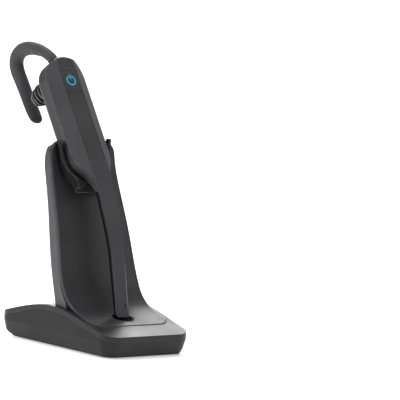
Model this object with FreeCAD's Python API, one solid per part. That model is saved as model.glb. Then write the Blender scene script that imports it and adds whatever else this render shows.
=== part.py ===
import FreeCAD, Part
import math
import os
from FreeCAD import Vector as V

# Cordless office headset with an ear hook, seated in its desktop charging stand.
# Millimetres, +Z up, X across, the front faces -Y.  The origin is the middle of the
# stand's underside, and the product is symmetric about the plane X = 0 but for its side keys.

# ---------------------------------------------------------------- stand base
BASE_FRONT = -48.0          # front edge of the base, along Y
BASE_REAR = 50.5            # rear edge of the base
BASE_HALF, BASE_FRONT_HALF = 31.5, 29.2     # half width of the base at its rear and at its front
BASE_CORNER = 9.0           # plan radius of the base's corners
TUCK_IN = [(3.0, 0.4), (1.5, 3.2), (0.0, 9.0), (0.0, 30.0)]     # (inset, Z) of the lower shell's side
WALL = 2.0                  # moulded wall of the stand
SEAM_DROP = 3.0             # the lid's side band, from its top edge down to the seam
SEAM_GAP = 0.15             # visible joint between the two base shells
FOOT_HEIGHT = 0.4           # how far the rubber pad lifts the base
CREST = [(-55.0, 10.3), (-48.0, 11.9), (-38.0, 14.1), (-28.0, 16.6), (-16.0, 19.8), (3.0, 22.6),
         (19.5, 20.9), (50.5, 12.9), (55.0, 11.8)]      # (Y, Z) of the wave-shaped top
FLOOR = 2.2                 # thickness of the base's floor
# ---------------------------------------------------------------- stand fittings
SCREW_PLACES = [(x, y) for x in (-21.5, 21.5) for y in (-40.0, 34.5)]
SCREW_R, SCREW_HEAD_R, SCREW_HEAD_H = 1.2, 2.2, 1.4
PAD_HALF, PAD_FRONT, PAD_REAR, PAD_CORNER, PAD_SINK = 20.0, -34.0, 29.0, 4.0, 0.8   # rubber pad underneath
TOWER_SCREWS = [(-15.0, 4.0), (15.0, 4.0)]
BALLAST = (-19.0, 19.0, -36.0, 13.0)                    # X and Y reach of the steel plate
BALLAST_THICK = 3.0
BOARD_HALF, BOARD_FRONT, BOARD_REAR = 17.0, 17.0, 38.0  # the stand's circuit board
BOARD_Z, BOARD_THICK = 6.0, 1.2
JACK_HALF, JACK_LOW, JACK_HIGH = 3.7, 3.9, 9.3         # half width, underside and top of the jack
JACK_FRONT, JACK_REAR, JACK_BORE = 35.5, 45.5, 1.8
TUCK = [(52.0, 9.9), (50.6, 8.7), (45.0, 3.4), (38.0, 0.38), (38.0, -5.0), (52.0, -5.0)]   # rear tuck-under
SOCKET_Y, SOCKET_HALF, SOCKET_DEEP, SOCKET_FLOOR = -21.8, 5.9, 5.1, 14.6
LINER_WALL = 0.8
# ---------------------------------------------------------------- stand tower
SPINE = [(22.4, 111.5), (20.9, 99.0), (13.4, 77.5), (3.4, 47.0), (-3.2, 30.5),
         (-9.6, 23.9), (-18.5, 19.9), (-27.0, 17.35), (-33.0, 15.6)]    # (Y, Z) of the panel's edge
PANEL_HALF = [22.4, 22.4, 23.4, 25.6, 26.6, 26.9, 26.9, 26.6, 26.3]     # half width at each point
PANEL_DISH = [3.0, 3.6, 3.8, 3.8, 3.4, 2.2, 0.9, 0.25, 0.05]            # hollow at each point
PANEL_THICK = [2.0, 2.0, 2.0, 2.0, 2.0, 1.8, 1.4, 1.2, 1.2]             # wall at each point
PANEL_RIM = 1.6             # flat rim beside the hollow
PANEL_GAP = 0.1             # joint between the front panel and what it lies on
TOWER_TOP = 111.0           # height of the tower
TOP_FALL = [(22.0, 0.0), (28.0, 1.0), (33.0, 4.0), (38.0, 7.5)]    # (Y, fall) of the top towards the rear
FRONT_SHOULDER_R, REAR_SHOULDER_R = 8.1, 16.0      # rounded shoulders of the front panel and of the back
SIDE_TOP, SIDE_FOOT = 5.6, 10.5     # depth of the tower's flat side band, top and foot
BACK_BULGE = 9.0            # how far the tower's back bows out behind the side bands
BACK_LEVELS = [18.0, 30.5, 47.0, 77.5, 99.0, TOWER_TOP]
TONGUE_CORNER = 8.0
# ---------------------------------------------------------------- headset
BODY_LEAN = 33.9            # lean of the headset's body from the vertical, degrees
BOOM_TURN = 18.7            # bend between the body and the boom's straight end, degrees
BODY_Y, BODY_Z = 8.2, 102.0     # where the body's front face turns into the boom
BODY_HALF = 13.8            # half width of the body
BODY_DEPTH = 13.5           # front face to rear face
BODY_STRAIGHT = 51.6        # length of the body up to its round top
BODY_CORNER = 3.0           # rounding of the body's rear edges
CROWN_CORNER = 1.4          # rounding of the front face's edge round the top
STRIP_HALF = 5.85           # half width of the flat front strip
FACET_DEPTH = 4.5           # how far the side facets fall back
TRIM_DEPTH = 1.9            # width of the trim band between the two shells
SHELL = 1.5                 # moulded wall of the headset
SEAM = 0.1                  # gap at the headset's seams
BOOM_BEND = 172.0           # radius of the bend from body to boom, at the front
BOOM_THICK = 3.0            # boom, front to back
BOOM_STRAIGHT = 33.5        # length of the boom's straight end
BOOM_ROOT_HALF, BOOM_MID_HALF, BOOM_TIP_HALF = 5.3, 4.25, 4.6
BOOM_SPLIT = 1.5            # depth of the seam between the boom's front and its back
BOOM_START = 6.0            # angle round the bend at which the boom leaves the body
SEAT_GAP = 0.3              # clearance between the headset and its cradle
# ---------------------------------------------------------------- headset controls
STRIP_THICK, STRIP_GROOVE, FRONT_WALL = 1.0, 0.25, 2.2      # inlay, groove beside it, wall behind it
BUTTON_LOW, BUTTON_HIGH, BUTTON_THICK = 42.6, 57.2, 0.9
BUTTON_TRAVEL = 0.35
KEY_GAP = 0.15              # clearance round each key
STEM_R, DOME_R, DOME_HEIGHT = 1.5, 2.2, 0.45    # stem under the power button, and the dome it clicks
SYMBOL_R, SYMBOL_LINE, SYMBOL_DEEP = 3.1, 0.75, 0.3
KEY_N, KEY_HALF_WIDTH, KEY_PROUD = 9.8, 2.1, 0.8    # side keys: depth of their middle, half width, height
ROCKER_S, ROCKER_HALF, ROCKER_SWING = 31.0, 7.0, 3.0
MUTE_S, MUTE_HALF, MUTE_TRAVEL = 44.0, 3.0, 0.3
FLANGE_IN, FLANGE_OUT, FLANGE_EXTRA = 11.1, 11.75, 0.8      # keeper flange of the side keys, along X
NUB_REACH, NUB_R, NUB_END = 4.5, 0.8, 10.45     # nubs under the keys, and how far in they end
SWITCH_FACE, KEY_BOARD_X = 10.1, 8.15           # tip of the key switches, and their board
# ---------------------------------------------------------------- headset inside
PCB_FRONT, PCB_THICK, PCB_HALF, PCB_LOW, PCB_HIGH = 5.2, 0.9, 9.4, 1.0, 57.0
REAR_INSIDE = BODY_DEPTH - SHELL - 0.4          # how far back the parts inside reach
BATTERY_HALF, BATTERY_NEAR, BATTERY_FAR, BATTERY_LOW, BATTERY_HIGH = 8.0, 6.8, REAR_INSIDE, 9.2, 41.0
POSTS = [(-8.6, 46.5), (8.6, 51.5), (0.0, 6.9)]         # (X, S) of the shell screws
POST_R, HEADSET_SCREW_R, HEADSET_HEAD_R = 1.8, 0.8, 1.5
SPEAKER_R, SPEAKER_NEAR, SPEAKER_FAR = 5.0, REAR_INSIDE - 3.4, REAR_INSIDE
PAD_X, PAD_S, PAD_R = 4.5, 8.0, 1.6
PIN_R, PIN_FIT, PIN_TRAVEL = 0.75, 0.05, 0.8
# ---------------------------------------------------------------- ear parts
NOZZLE_S, NOZZLE_TILT = 55.0, 0.0       # where the sound nozzle leaves the rear face, and its tilt
NOZZLE_R, NOZZLE_BORE, NOZZLE_LENGTH = 3.0, 2.0, 14.5
TIP_FLANGES = [(9.0, 6.4), (12.2, 6.4), (15.2, 5.9), (17.8, 5.0)]   # (distance, radius)
TIP_START, TIP_END, TIP_SLEEVE = 7.0, 20.4, 0.9
PIVOT_N, PIVOT_R, PIVOT_DEPTH, PIVOT_GAP = 9.2, 1.7, 3.6, 0.05
HOOK_PATH = [(9.2, 66.5), (10.2, 69.8), (13.7, 74.8), (18.6, 79.4), (24.7, 83.6), (31.4, 86.1),
             (37.3, 85.4), (40.6, 82.0), (41.5, 77.0), (41.1, 71.5), (40.7, 65.5), (40.3, 59.5),
             (39.9, 53.0), (39.3, 47.5), (38.9, 43.2)]                # (N, S) of the ear hook's centre line
HOOK_WIDE = [3.0, 3.1, 3.5, 3.9, 4.0, 4.0, 4.2, 4.6, 4.7, 4.2]      # half width along the hook, across X
HOOK_DEEP = [3.0, 3.1, 3.6, 4.1, 4.3, 4.2, 3.5, 2.4, 2.0, 1.7]      # half depth, across the loop
HOOK_TAIL = 0.045           # share of the hook's length over which its end rounds off
CORE_R = 1.0


# ================================================================ helpers
def polygon(points):
    """Closed wire of straight edges."""
    return Part.makePolygon(list(points) + [points[0]])


def face_of(edges):
    """Face bounded by edges that join end to end in any order."""
    return Part.Face(Part.Wire(Part.__sortEdges__(edges)))


def line(a, b):
    """Straight edge."""
    return Part.makeLine(a, b)


def arc(a, b, c):
    """Circular edge from a through b to c."""
    return Part.Arc(a, b, c).toShape()


def block(x0, x1, y0, y1, z0, z1):
    """Box between two corners."""
    return Part.makeBox(x1 - x0, y1 - y0, z1 - z0, V(x0, y0, z0))


def upright_edges(shape):
    """The edges of a shape that stand straight up."""
    return [e for e in shape.Edges if abs(e.tangentAt(e.FirstParameter).z) > 0.99]


def side_prism(points, half=60.0):
    """Prism from an outline of (Y, Z) points, spread evenly to both sides."""
    return Part.Face(polygon([V(-half, y, z) for y, z in points])).extrude(V(2 * half, 0, 0))


def oval(cx, cy, half_x, half_y, z0, z1):
    """Upright prism with an elliptical plan."""
    ellipse = Part.Ellipse(V(cx, cy, z0), max(half_x, half_y), min(half_x, half_y))
    prism = Part.Face(Part.Wire(ellipse.toShape())).extrude(V(0, 0, z1 - z0))
    if half_y > half_x:
        prism.rotate(V(cx, cy, z0), V(0, 0, 1), 90)
    return prism


def biggest(shape):
    """The largest solid of a shape, which leaves out slivers from a cut."""
    return max(shape.removeSplitter().Solids, key=lambda solid: solid.Volume)


def save(name, shape):
    """Write one named piece."""
    shape.exportStep("parts/%s.step" % name)


# ================================================================ stand base
def wave_curve(drop):
    """The profile of the base's top, lowered by drop, in the plane X = 0."""
    curve = Part.BSplineCurve()
    curve.interpolate([V(0, y, z - drop) for y, z in CREST])
    return curve


def wave_height(y):
    """Height of the base's top surface at a place along Y."""
    curve = wave_curve(0.0)
    low, high = curve.FirstParameter, curve.LastParameter
    for _ in range(30):
        middle = (low + high) / 2
        if curve.value(middle).y < y:
            low = middle
        else:
            high = middle
    return curve.value(low).z


def under_wave(drop):
    """Everything below the wave-shaped surface lowered by drop."""
    edge = wave_curve(drop).toShape()
    edge.translate(V(-60, 0, 0))
    (y0, z0), (y1, z1) = CREST[0], CREST[-1]
    corners = [V(-60, y1, z1 - drop), V(-60, y1, -20), V(-60, y0, -20), V(-60, y0, z0 - drop)]
    edges = [edge] + [line(a, b) for a, b in zip(corners, corners[1:])]
    return face_of(edges).extrude(V(120, 0, 0))


def plan_block(inset, z0, z1):
    """Rounded trapezium of the base, moved inwards by inset, from z0 to z1."""
    front, rear = BASE_FRONT + inset, BASE_REAR - inset
    slope = (BASE_HALF - BASE_FRONT_HALF) / (BASE_REAR - BASE_FRONT)
    half_front, half_rear = BASE_FRONT_HALF - inset + slope * inset, BASE_HALF - inset - slope * inset
    corners = [V(-half_front, front, z0), V(half_front, front, z0), V(half_rear, rear, z0), V(-half_rear, rear, z0)]
    prism = Part.Face(polygon(corners)).extrude(V(0, 0, z1 - z0))
    return prism.makeFillet(BASE_CORNER - inset, upright_edges(prism))


def plan_outline(inset, z):
    """Outline of the base at one height, moved inwards by inset."""
    block_here = plan_block(inset, z, z + 1)
    return min(block_here.Faces, key=lambda face: face.CenterOfMass.z).OuterWire


def base_lower_shell():
    """Tray with tucked-in sides, screw posts, board posts and the jack's window."""
    floor = FOOT_HEIGHT + FLOOR
    shell = Part.makeLoft([plan_outline(inset, z) for inset, z in TUCK_IN], True, True)
    shell = shell.common(under_wave(SEAM_DROP + SEAM_GAP))
    inner = Part.makeLoft([plan_outline(WALL + 2.6, floor), plan_outline(WALL + 0.2, 9.5), plan_outline(WALL, 30)],
                          True, True)
    shell = shell.cut(pad_block(0.1, FOOT_HEIGHT + PAD_SINK))
    shell = shell.cut(side_prism(TUCK)).cut(inner.cut(side_prism([(y - 0.9, z + 2.1) for y, z in TUCK])))
    for x, y in SCREW_PLACES:
        shell = shell.fuse(Part.makeCylinder(3.2, post_top(y) - floor, V(x, y, floor)))
    for x in (-BOARD_HALF + 3, BOARD_HALF - 3):
        for y in (BOARD_FRONT + 3, BOARD_REAR - 3):
            shell = shell.fuse(Part.makeCylinder(1.8, BOARD_Z - floor, V(x, y, floor)))
    for x, y in SCREW_PLACES:
        shell = shell.cut(Part.makeCylinder(SCREW_R + 0.15, 40, V(x, y, 0)))
        shell = shell.cut(Part.makeCylinder(SCREW_HEAD_R + 0.2, SCREW_HEAD_H + 0.4, V(x, y, FOOT_HEIGHT)))
    return biggest(shell.cut(jack_block(0.15, JACK_REAR - 6.0, BASE_REAR + 5)))


def post_top(y):
    """Height at which the lower shell's screw post meets the lid's boss."""
    return wave_height(y) - WALL - 4.0


def base_upper_shell():
    """Wave-shaped lid with its side band, screw bosses, and a bed for the tower's tongue."""
    lid = plan_block(0, 0, 30).common(under_wave(0)).cut(under_wave(SEAM_DROP))
    lid = lid.cut(plan_block(WALL, 0, 30).common(under_wave(WALL)))
    for x, y in SCREW_PLACES:
        top = post_top(y) + SEAM_GAP
        boss = Part.makeCylinder(2.6, 10, V(x, y, top)).common(under_wave(0.8))
        hole = Part.makeCylinder(SCREW_R, 3.6, V(x, y, top))
        lid = lid.fuse(boss).cut(hole)
    lid = lid.cut(panel_loft(-3.0, PANEL_GAP, 0.2).common(tongue_plan(0.2)))
    lid = lid.cut(block(-10.0, 10.0, -3.0, 9.0, 0, 40))
    for x, y in TOWER_SCREWS:
        lid = lid.cut(Part.makeCylinder(SCREW_R + 0.15, 40, V(x, y, 0)))
    return biggest(lid.cut(socket_space(LINER_WALL + 0.1)))


def base_screws():
    """Four self-tapping screws that hold the two base shells together."""
    screws = []
    for x, y in SCREW_PLACES:
        low = FOOT_HEIGHT + 0.4
        head = Part.makeCylinder(SCREW_HEAD_R, SCREW_HEAD_H, V(x, y, low))
        head = head.cut(cross_recess(V(x, y, low), V(0, 0, 1), 1.1))
        shank = Part.makeCylinder(SCREW_R - 0.05, post_top(y) + 3.0 - low - SCREW_HEAD_H,
                                  V(x, y, low + SCREW_HEAD_H))
        screws.append(head.fuse(shank))
    return Part.makeCompound(screws)


def cross_recess(place, axis, reach):
    """Cross-shaped driver recess that opens at place and goes along axis."""
    bars = block(-reach, reach, -0.25, 0.25, 0, 0.8).fuse(block(-0.25, 0.25, -reach, reach, 0, 0.8))
    bars.Placement = FreeCAD.Placement(place, FreeCAD.Rotation(V(0, 0, 1), axis))
    return bars


def pad_block(grow, top):
    """Rounded plate under the base, from the ground to a height."""
    pad = block(-PAD_HALF - grow, PAD_HALF + grow, PAD_FRONT - grow, PAD_REAR + grow, 0, top)
    return pad.makeFillet(PAD_CORNER + grow, upright_edges(pad))


def ballast_plate():
    """Steel plate on the floor that keeps the stand from tipping."""
    x0, x1, y0, y1 = BALLAST
    z0 = FOOT_HEIGHT + FLOOR
    plate = block(x0, x1, y0, y1, z0, z0 + BALLAST_THICK)
    return plate.makeFillet(3.0, upright_edges(plate))


def charge_board():
    """Circuit board of the stand, on four posts."""
    board = block(-BOARD_HALF, BOARD_HALF, BOARD_FRONT, BOARD_REAR, BOARD_Z, BOARD_Z + BOARD_THICK)
    return board.cut(jack_block(0.05, JACK_FRONT - 0.05, BASE_REAR))


def board_parts():
    """Charger chip, inductor and capacitor on the stand's board."""
    top = BOARD_Z + BOARD_THICK
    return Part.makeCompound([block(-13, -8, 28, 33, top, top + 1.0), block(-3, 3, 27, 32, top, top + 2.4),
                              Part.makeCylinder(2.5, 2.8, V(11, 30, top))])


def jack_block(grow, front, rear):
    """Outer shape of the power jack, which sits in a notch of the board."""
    return block(-JACK_HALF - grow, JACK_HALF + grow, front, rear, JACK_LOW - grow, JACK_HIGH + grow)


def power_jack():
    """Barrel jack for the mains adaptor, set in the rear wall, with its centre pin."""
    middle = (JACK_LOW + JACK_HIGH) / 2
    jack = jack_block(0, JACK_FRONT, JACK_REAR)
    jack = jack.cut(Part.makeCylinder(JACK_BORE, 8.0, V(0, JACK_REAR, middle), V(0, -1, 0)))
    return jack.fuse(Part.makeCylinder(0.5, 7.0, V(0, JACK_REAR - 8.5, middle), V(0, 1, 0)))


# ================================================================ stand tower
def spine_frame(index):
    """Place and inward direction at one point of the panel's edge curve."""
    curve = Part.BSplineCurve()
    curve.interpolate([V(0, y, z) for y, z in SPINE])
    here = V(0, SPINE[index][0], SPINE[index][1])
    along = curve.toShape().tangentAt(curve.parameter(here))
    return here, V(0, -along.z, along.y)


def panel_section(index, near, far, extra):
    """Dished cross-section of the panel from depth near to depth far."""
    here, inward = spine_frame(index)
    half = PANEL_HALF[index] + extra
    front, back = here + inward * near, here + inward * far
    dish = inward * PANEL_DISH[index]
    a, b = front - V(half, 0, 0), front + V(half, 0, 0)
    c, d = back + V(half, 0, 0), back - V(half, 0, 0)
    rim = V(PANEL_RIM + extra, 0, 0)
    return Part.Wire([line(a, a + rim), arc(a + rim, front + dish, b - rim), line(b - rim, b), line(b, c),
                      line(c, c - rim), arc(c - rim, back + dish, d + rim), line(d + rim, d), line(d, a)])


def panel_loft(near, beyond, extra):
    """Smooth panel from the tower's top down to the tongue's front edge."""
    sections = [panel_section(i, near, PANEL_THICK[i] + beyond, extra) for i in range(len(SPINE))]
    return Part.makeLoft(sections, True, False)


def panel_edge(z):
    """Y and half width of the panel's edge at a height on the tower."""
    lower = min(i for i in range(1, 5) if SPINE[i][1] <= z or i == 4)
    (y0, z0), (y1, z1) = SPINE[lower], SPINE[lower - 1]
    share = (z - z0) / (z1 - z0)
    half = PANEL_HALF[lower] + (PANEL_HALF[lower - 1] - PANEL_HALF[lower]) * share
    return y0 + (y1 - y0) * share, half


def back_section(z, inset, open_front):
    """Cross-section of the tower's back at one height, moved inwards by inset."""
    edge_y, half = panel_edge(z)
    half -= inset
    side = SIDE_TOP + (SIDE_FOOT - SIDE_TOP) * (TOWER_TOP - z) / (TOWER_TOP - BACK_LEVELS[0])
    y0 = edge_y + (-6.0 if open_front else 0.6)
    y1 = edge_y + side - inset * 0.4
    a, b, c, d = V(-half, y0, z), V(half, y0, z), V(half, y1, z), V(-half, y1, z)
    return Part.Wire([line(a, b), line(b, c), arc(c, V(0, edge_y + side + BACK_BULGE - inset, z), d),
                      line(d, a)])


def shoulder_prism(radius, top):
    """Everything inside the front view of the tower with rounded shoulders."""
    waist, foot = PANEL_HALF[0], PANEL_HALF[5] + 0.4
    slant = radius * (1 - math.sqrt(0.5))
    right = [V(waist - radius, -70, top), V(waist - slant, -70, top - slant), V(waist, -70, top - radius),
             V(waist + 0.05, -70, SPINE[1][1] - 5), V(foot, -70, SPINE[4][1]), V(foot, -70, 5)]
    left = [V(-p.x, p.y, p.z) for p in right]
    edges = [line(left[0], right[0]), line(right[5], left[5])]
    for points in (right, left):
        edges.append(arc(points[0], points[1], points[2]))
        edges += [line(points[k], points[k + 1]) for k in (2, 3, 4)]
    return face_of(edges).extrude(V(0, 140, 0))


def tongue_plan(grow):
    """Plan of the tongue with rounded front corners, as a tall prism."""
    half = PANEL_HALF[-1] + grow
    box = block(-half, half, SPINE[-1][0] + 0.3 - grow, 70, 0, 130)
    return box.makeFillet(TONGUE_CORNER, [e for e in upright_edges(box) if e.BoundBox.YMax < 0])


def tower_front_panel():
    """Dished front panel that sweeps forward into a tongue on the base."""
    panel = panel_loft(0.0, 0.0, 0.0).common(shoulder_prism(FRONT_SHOULDER_R, TOWER_TOP)).common(tongue_plan(0))
    panel = panel.cut(cradle_blank(PANEL_GAP)).cut(cradle_window())
    return biggest(panel.cut(socket_space(LINER_WALL + 0.1)))


def top_line(z):
    """Side-view line of the tower's top from the panel to the rear, from the height z at the panel."""
    return [(y, z - fall) for y, fall in TOP_FALL]


def tower_rear_shell():
    """Hollow back of the tower, standing on the lid, closed by the front panel."""
    outer = Part.makeLoft([back_section(z, 0, False) for z in BACK_LEVELS], True, False)
    inner = Part.makeLoft([back_section(z, WALL, True) for z in BACK_LEVELS], True, False)
    under_lid = top_line(TOWER_TOP - WALL)
    under_lid = [(-60, 0), (-60, TOWER_TOP - WALL)] + under_lid + [(60, under_lid[-1][1]), (60, 0)]
    inner = inner.common(shoulder_prism(REAR_SHOULDER_R, TOWER_TOP - 0.6 - WALL)).common(side_prism(under_lid))
    shell = outer.cut(inner)
    shell = shell.common(shoulder_prism(REAR_SHOULDER_R, TOWER_TOP - 0.6))
    shell = shell.cut(side_prism(top_line(TOWER_TOP) + [(60.0, TOWER_TOP), (60.0, 120), (22.0, 120)]))
    for x, y in TOWER_SCREWS:
        shell = shell.fuse(Part.makeCylinder(3.2, 14, V(x, y, 19.0)))
    shell = shell.cut(panel_loft(-3.0, PANEL_GAP, 6.0))
    for x, y in TOWER_SCREWS:
        shell = shell.cut(Part.makeCylinder(SCREW_R, 10, V(x, y, 15.0)))
    return biggest(shell.cut(under_wave(0)).cut(cradle_blank(PANEL_GAP)))


def tower_screws():
    """Two screws from under the lid into the tower's bosses."""
    screws = []
    for x, y in TOWER_SCREWS:
        top = wave_height(y) - WALL - 0.6
        head = Part.makeCylinder(SCREW_HEAD_R, SCREW_HEAD_H, V(x, y, top - SCREW_HEAD_H))
        head = head.cut(cross_recess(V(x, y, top - SCREW_HEAD_H), V(0, 0, 1), 1.1))
        screws.append(head.fuse(Part.makeCylinder(SCREW_R - 0.05, 6.0, V(x, y, top))))
    return Part.makeCompound(screws)


def socket_space(grow):
    """Oval recess for the boom's tip, open at the top."""
    return oval(0, SOCKET_Y, SOCKET_HALF + grow, SOCKET_DEEP + grow, SOCKET_FLOOR, 60)


def socket_liner():
    """Soft cup in the base that the boom's tip points into."""
    cup = oval(0, SOCKET_Y, SOCKET_HALF + LINER_WALL, SOCKET_DEEP + LINER_WALL,
               SOCKET_FLOOR - LINER_WALL, 60).cut(socket_space(0))
    return biggest(cup.common(panel_loft(0.0, 9.0, 0.0)))


# ================================================================ cradle
CRADLE_TOP = 111.5
CRADLE_SIDE = [(22.3, 116.0), (20.2, CRADLE_TOP), (19.0, 104.4), (17.9, 101.2), (16.8, 98.2), (15.4, 95.8),
               (13.2, 93.7), (10.3, 91.7), (8.2, 85.7),
               (12.0, 83.5), (20.0, 90.5), (21.8, 92.8), (37.3, 116.0)]     # (Y, Z) of the insert's side
# (X, S) of the flared saddle's outside at its front and at its rear, and of its inside
FLARE_FRONT = [(18.6, 30.0), (18.4, 15.1), (18.0, 5.9), (16.0, 1.0), (12.3, -8.0), (12.0, -20.0)]
FLARE_REAR = [(16.2, 30.0), (16.2, 15.0), (16.0, 5.0), (14.0, -2.0), (11.0, -8.0), (9.0, -20.0)]
SEAT_FRONT = [(17.3, 30.0), (17.1, 15.1), (16.7, 5.9), (14.9, 1.0), (11.3, -8.0), (11.0, -20.0)]
SEAT_REAR = [(14.1, 30.0), (14.1, 8.0), (12.5, -0.2), (9.2, -5.4), (6.9, -9.0), (6.2, -20.0)]
LIP_ARCH = [(12.6, 85.0), (5.0, 89.5)]  # (X, Z) of the arch under the cradle's lip
FLARE_NEAR, FLARE_FAR = 4.0, 13.0       # depths between which the saddle flares
ARM_DEPTH = 22.4            # Y behind which the arms' tops follow the tower's shoulders
BLOCK_NEAR, BLOCK_FAR, BLOCK_HALF = BODY_DEPTH + 2.95, BODY_DEPTH + 7.5, 7.0    # contact block behind the cradle's rear wall


def saddle(front, rear, grow):
    """Flared trough between two half outlines, open upwards and continued straight at both ends."""
    wires = []
    for outline, n in ((front, FLARE_NEAR), (rear, FLARE_FAR)):
        points = [(x + grow, s) for x, s in outline]
        points[-1] = (points[-1][0], points[-1][1] - grow)
        wires.append(polygon([V(x, n, s) for x, s in points] + [V(-x, n, s) for x, s in reversed(points)]))
    ahead = Part.Face(wires[0]).extrude(V(0, -40, 0))
    behind = Part.Face(wires[1]).extrude(V(0, 30, 0))
    return Part.makeLoft(wires, True, True).fuse(ahead).fuse(behind)


def cradle_blank(grow):
    """Outer shape of the cradle insert, grown outwards for the opening that holds it."""
    side = Part.Face(polygon([V(-40, y, z) for y, z in CRADLE_SIDE]))
    if grow:
        side = side.makeOffset2D(grow, 2)
    bow = Part.makeLoft([back_bow(z, WALL - 0.3 - grow) for z in (77.5, 99.0, TOWER_TOP + 1.0)], True, False)
    return side.extrude(V(80, 0, 0)).common(seated(saddle(FLARE_FRONT, FLARE_REAR, grow))).common(bow)


def cradle_window():
    """Opening of the front panel behind the cradle's seat."""
    trough = seated(saddle(FLARE_FRONT, FLARE_REAR, PANEL_GAP))
    return trough.common(block(-60, 60, -60, 60, CRADLE_SIDE[-2][1], 130))


def back_bow(z, inset):
    """Full circle that carries the bowed back of the tower at one height."""
    edge_y, half = panel_edge(z)
    rear = edge_y + SIDE_TOP + (SIDE_FOOT - SIDE_TOP) * (TOWER_TOP - z) / (TOWER_TOP - BACK_LEVELS[0])
    radius = (half ** 2 + BACK_BULGE ** 2) / (2 * BACK_BULGE)
    circle = Part.Circle(V(0, rear + BACK_BULGE - radius, z), V(0, 0, 1), radius - inset)
    return Part.Wire(circle.toShape())


def cradle_insert():
    """Saddle that carries the headset's lower end, with two flared arms and two pin holes."""
    side = [(-50, 90), (BODY_DEPTH + SEAT_GAP, 90), (BODY_DEPTH + SEAT_GAP, 5.0 - 0.2 * SEAT_GAP)]
    low = boom_point(BOOM_THICK + SEAT_GAP, BOOM_START)
    side = side_prism(side + [(low.y, low.z), (-50, low.z)])
    pocket = saddle(SEAT_FRONT, SEAT_REAR, 0).common(side)
    for x in (-PAD_X, PAD_X):
        pocket = pocket.fuse(Part.makeCylinder(PIN_R + PIN_FIT, 6.0, V(x, BODY_DEPTH - 1.0, PAD_S), V(0, 1, 0)))
    insert = cradle_blank(0).cut(seated(pocket))
    over = [(5.0, CRADLE_TOP), (20.0, CRADLE_TOP)] + top_line(CRADLE_TOP)
    insert = insert.cut(side_prism(over + [(60.0, over[-1][1]), (60.0, 125.0), (5.0, 125.0)]))
    for behind, radius, top in ((ARM_DEPTH, FRONT_SHOULDER_R, TOWER_TOP), (25.0, REAR_SHOULDER_R, TOWER_TOP - 0.6)):
        insert = insert.cut(block(-60, 60, behind, 70, 90, 130).cut(shoulder_prism(radius, top)))
    return biggest(insert.cut(lip_arch()))


def lip_arch():
    """Space under the cradle's lip, which rises towards the boom."""
    (x0, z0), (x1, z1) = LIP_ARCH
    points = [(-x0, 75.0), (-x0, z0), (-x1, z1), (x1, z1), (x0, z0), (x0, 75.0)]
    return Part.Face(polygon([V(x, -5.0, z) for x, z in points])).extrude(V(0, 17.0, 0))


def contact_block():
    """Insulating block behind the cradle that guides the two spring pins."""
    body = block(-BLOCK_HALF, BLOCK_HALF, BLOCK_NEAR, BLOCK_FAR, PAD_S - 3.0, PAD_S + 3.0)
    for x in (-PAD_X, PAD_X):
        body = body.cut(Part.makeCylinder(PIN_R + PIN_FIT, BLOCK_FAR - BLOCK_NEAR - 0.8,
                                          V(x, BLOCK_NEAR - 1, PAD_S), V(0, 1, 0)))
    return seated(body)


def contact_pin(x):
    """Gilt spring pin that meets one charge pad of the headset."""
    tip = BODY_DEPTH + 0.05
    pin = Part.makeCylinder(PIN_R, BLOCK_FAR - 1.8 - PIN_TRAVEL - tip, V(x, tip, PAD_S), V(0, 1, 0))
    pin = pin.makeFillet(0.4, [e for e in pin.Edges if abs(e.BoundBox.YMax - tip) < 1e-4])
    return seated(pin)


def charge_leads():
    """Two insulated leads from the stand's board up the tower to the contact block."""
    leads = []
    for x in (-3.0, 3.0):
        path = Part.BSplineCurve()
        path.interpolate([V(x, y, z) for y, z in [(22.0, 7.9), (14.0, 12.0), (6.0, 18.5), (6.2, 25.0), (8.5, 32.0),
                                                  (14.8, 47.0), (23.6, 77.0), (26.5, 93.6)]])
        start = path.value(path.FirstParameter)
        circle = Part.Circle(start, path.toShape().tangentAt(path.FirstParameter), 0.5)
        leads.append(Part.Wire(path.toShape()).makePipe(Part.Face(Part.Wire(circle.toShape()))))
    return Part.makeCompound([lead.Solids[0] for lead in leads])


# ================================================================ headset
# Built along its own body: X across, Y from the front face to the rear (n), Z up the body (s),
# with the origin where the flat front face turns into the boom; seated() puts it in the stand.
def seated(shape):
    """Turn and move a headset piece to its place in the cradle."""
    shape.rotate(V(0, 0, 0), V(1, 0, 0), -BODY_LEAN)
    shape.translate(V(0, BODY_Y, BODY_Z))
    return shape


def boom_point(depth, angle, beyond=0.0, x=0.0):
    """Point at a depth under the boom's front face, angle round the bend, then straight on."""
    turn = math.radians(angle)
    radius = BOOM_BEND - depth
    return V(x, BOOM_BEND - radius * math.cos(turn) + beyond * math.sin(turn),
             -radius * math.sin(turn) - beyond * math.cos(turn))


def boom_layer(near, far, half, start, short=0.0):
    """Band that follows the boom between two depths, from the angle start to near the tip."""
    length = BOOM_STRAIGHT - short
    middle = (start + BOOM_TURN) / 2
    near_points = [boom_point(near, a, x=-half) for a in (start, middle, BOOM_TURN)]
    far_points = [boom_point(far, a, x=-half) for a in (start, middle, BOOM_TURN)]
    near_end = boom_point(near, BOOM_TURN, length, -half)
    far_end = boom_point(far, BOOM_TURN, length, -half)
    edges = [arc(*near_points), line(near_points[2], near_end), line(near_end, far_end),
             line(far_end, far_points[2]), arc(*far_points), line(far_points[0], near_points[0])]
    return face_of(edges).extrude(V(2 * half, 0, 0))


def at_boom_end(shape):
    """Turn and move a shape built at the boom's tip: X across, Y depth, Z up from the tip."""
    shape.rotate(V(0, 0, 0), V(1, 0, 0), BOOM_TURN)
    shape.translate(boom_point(0, BOOM_TURN, BOOM_STRAIGHT))
    return shape


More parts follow.
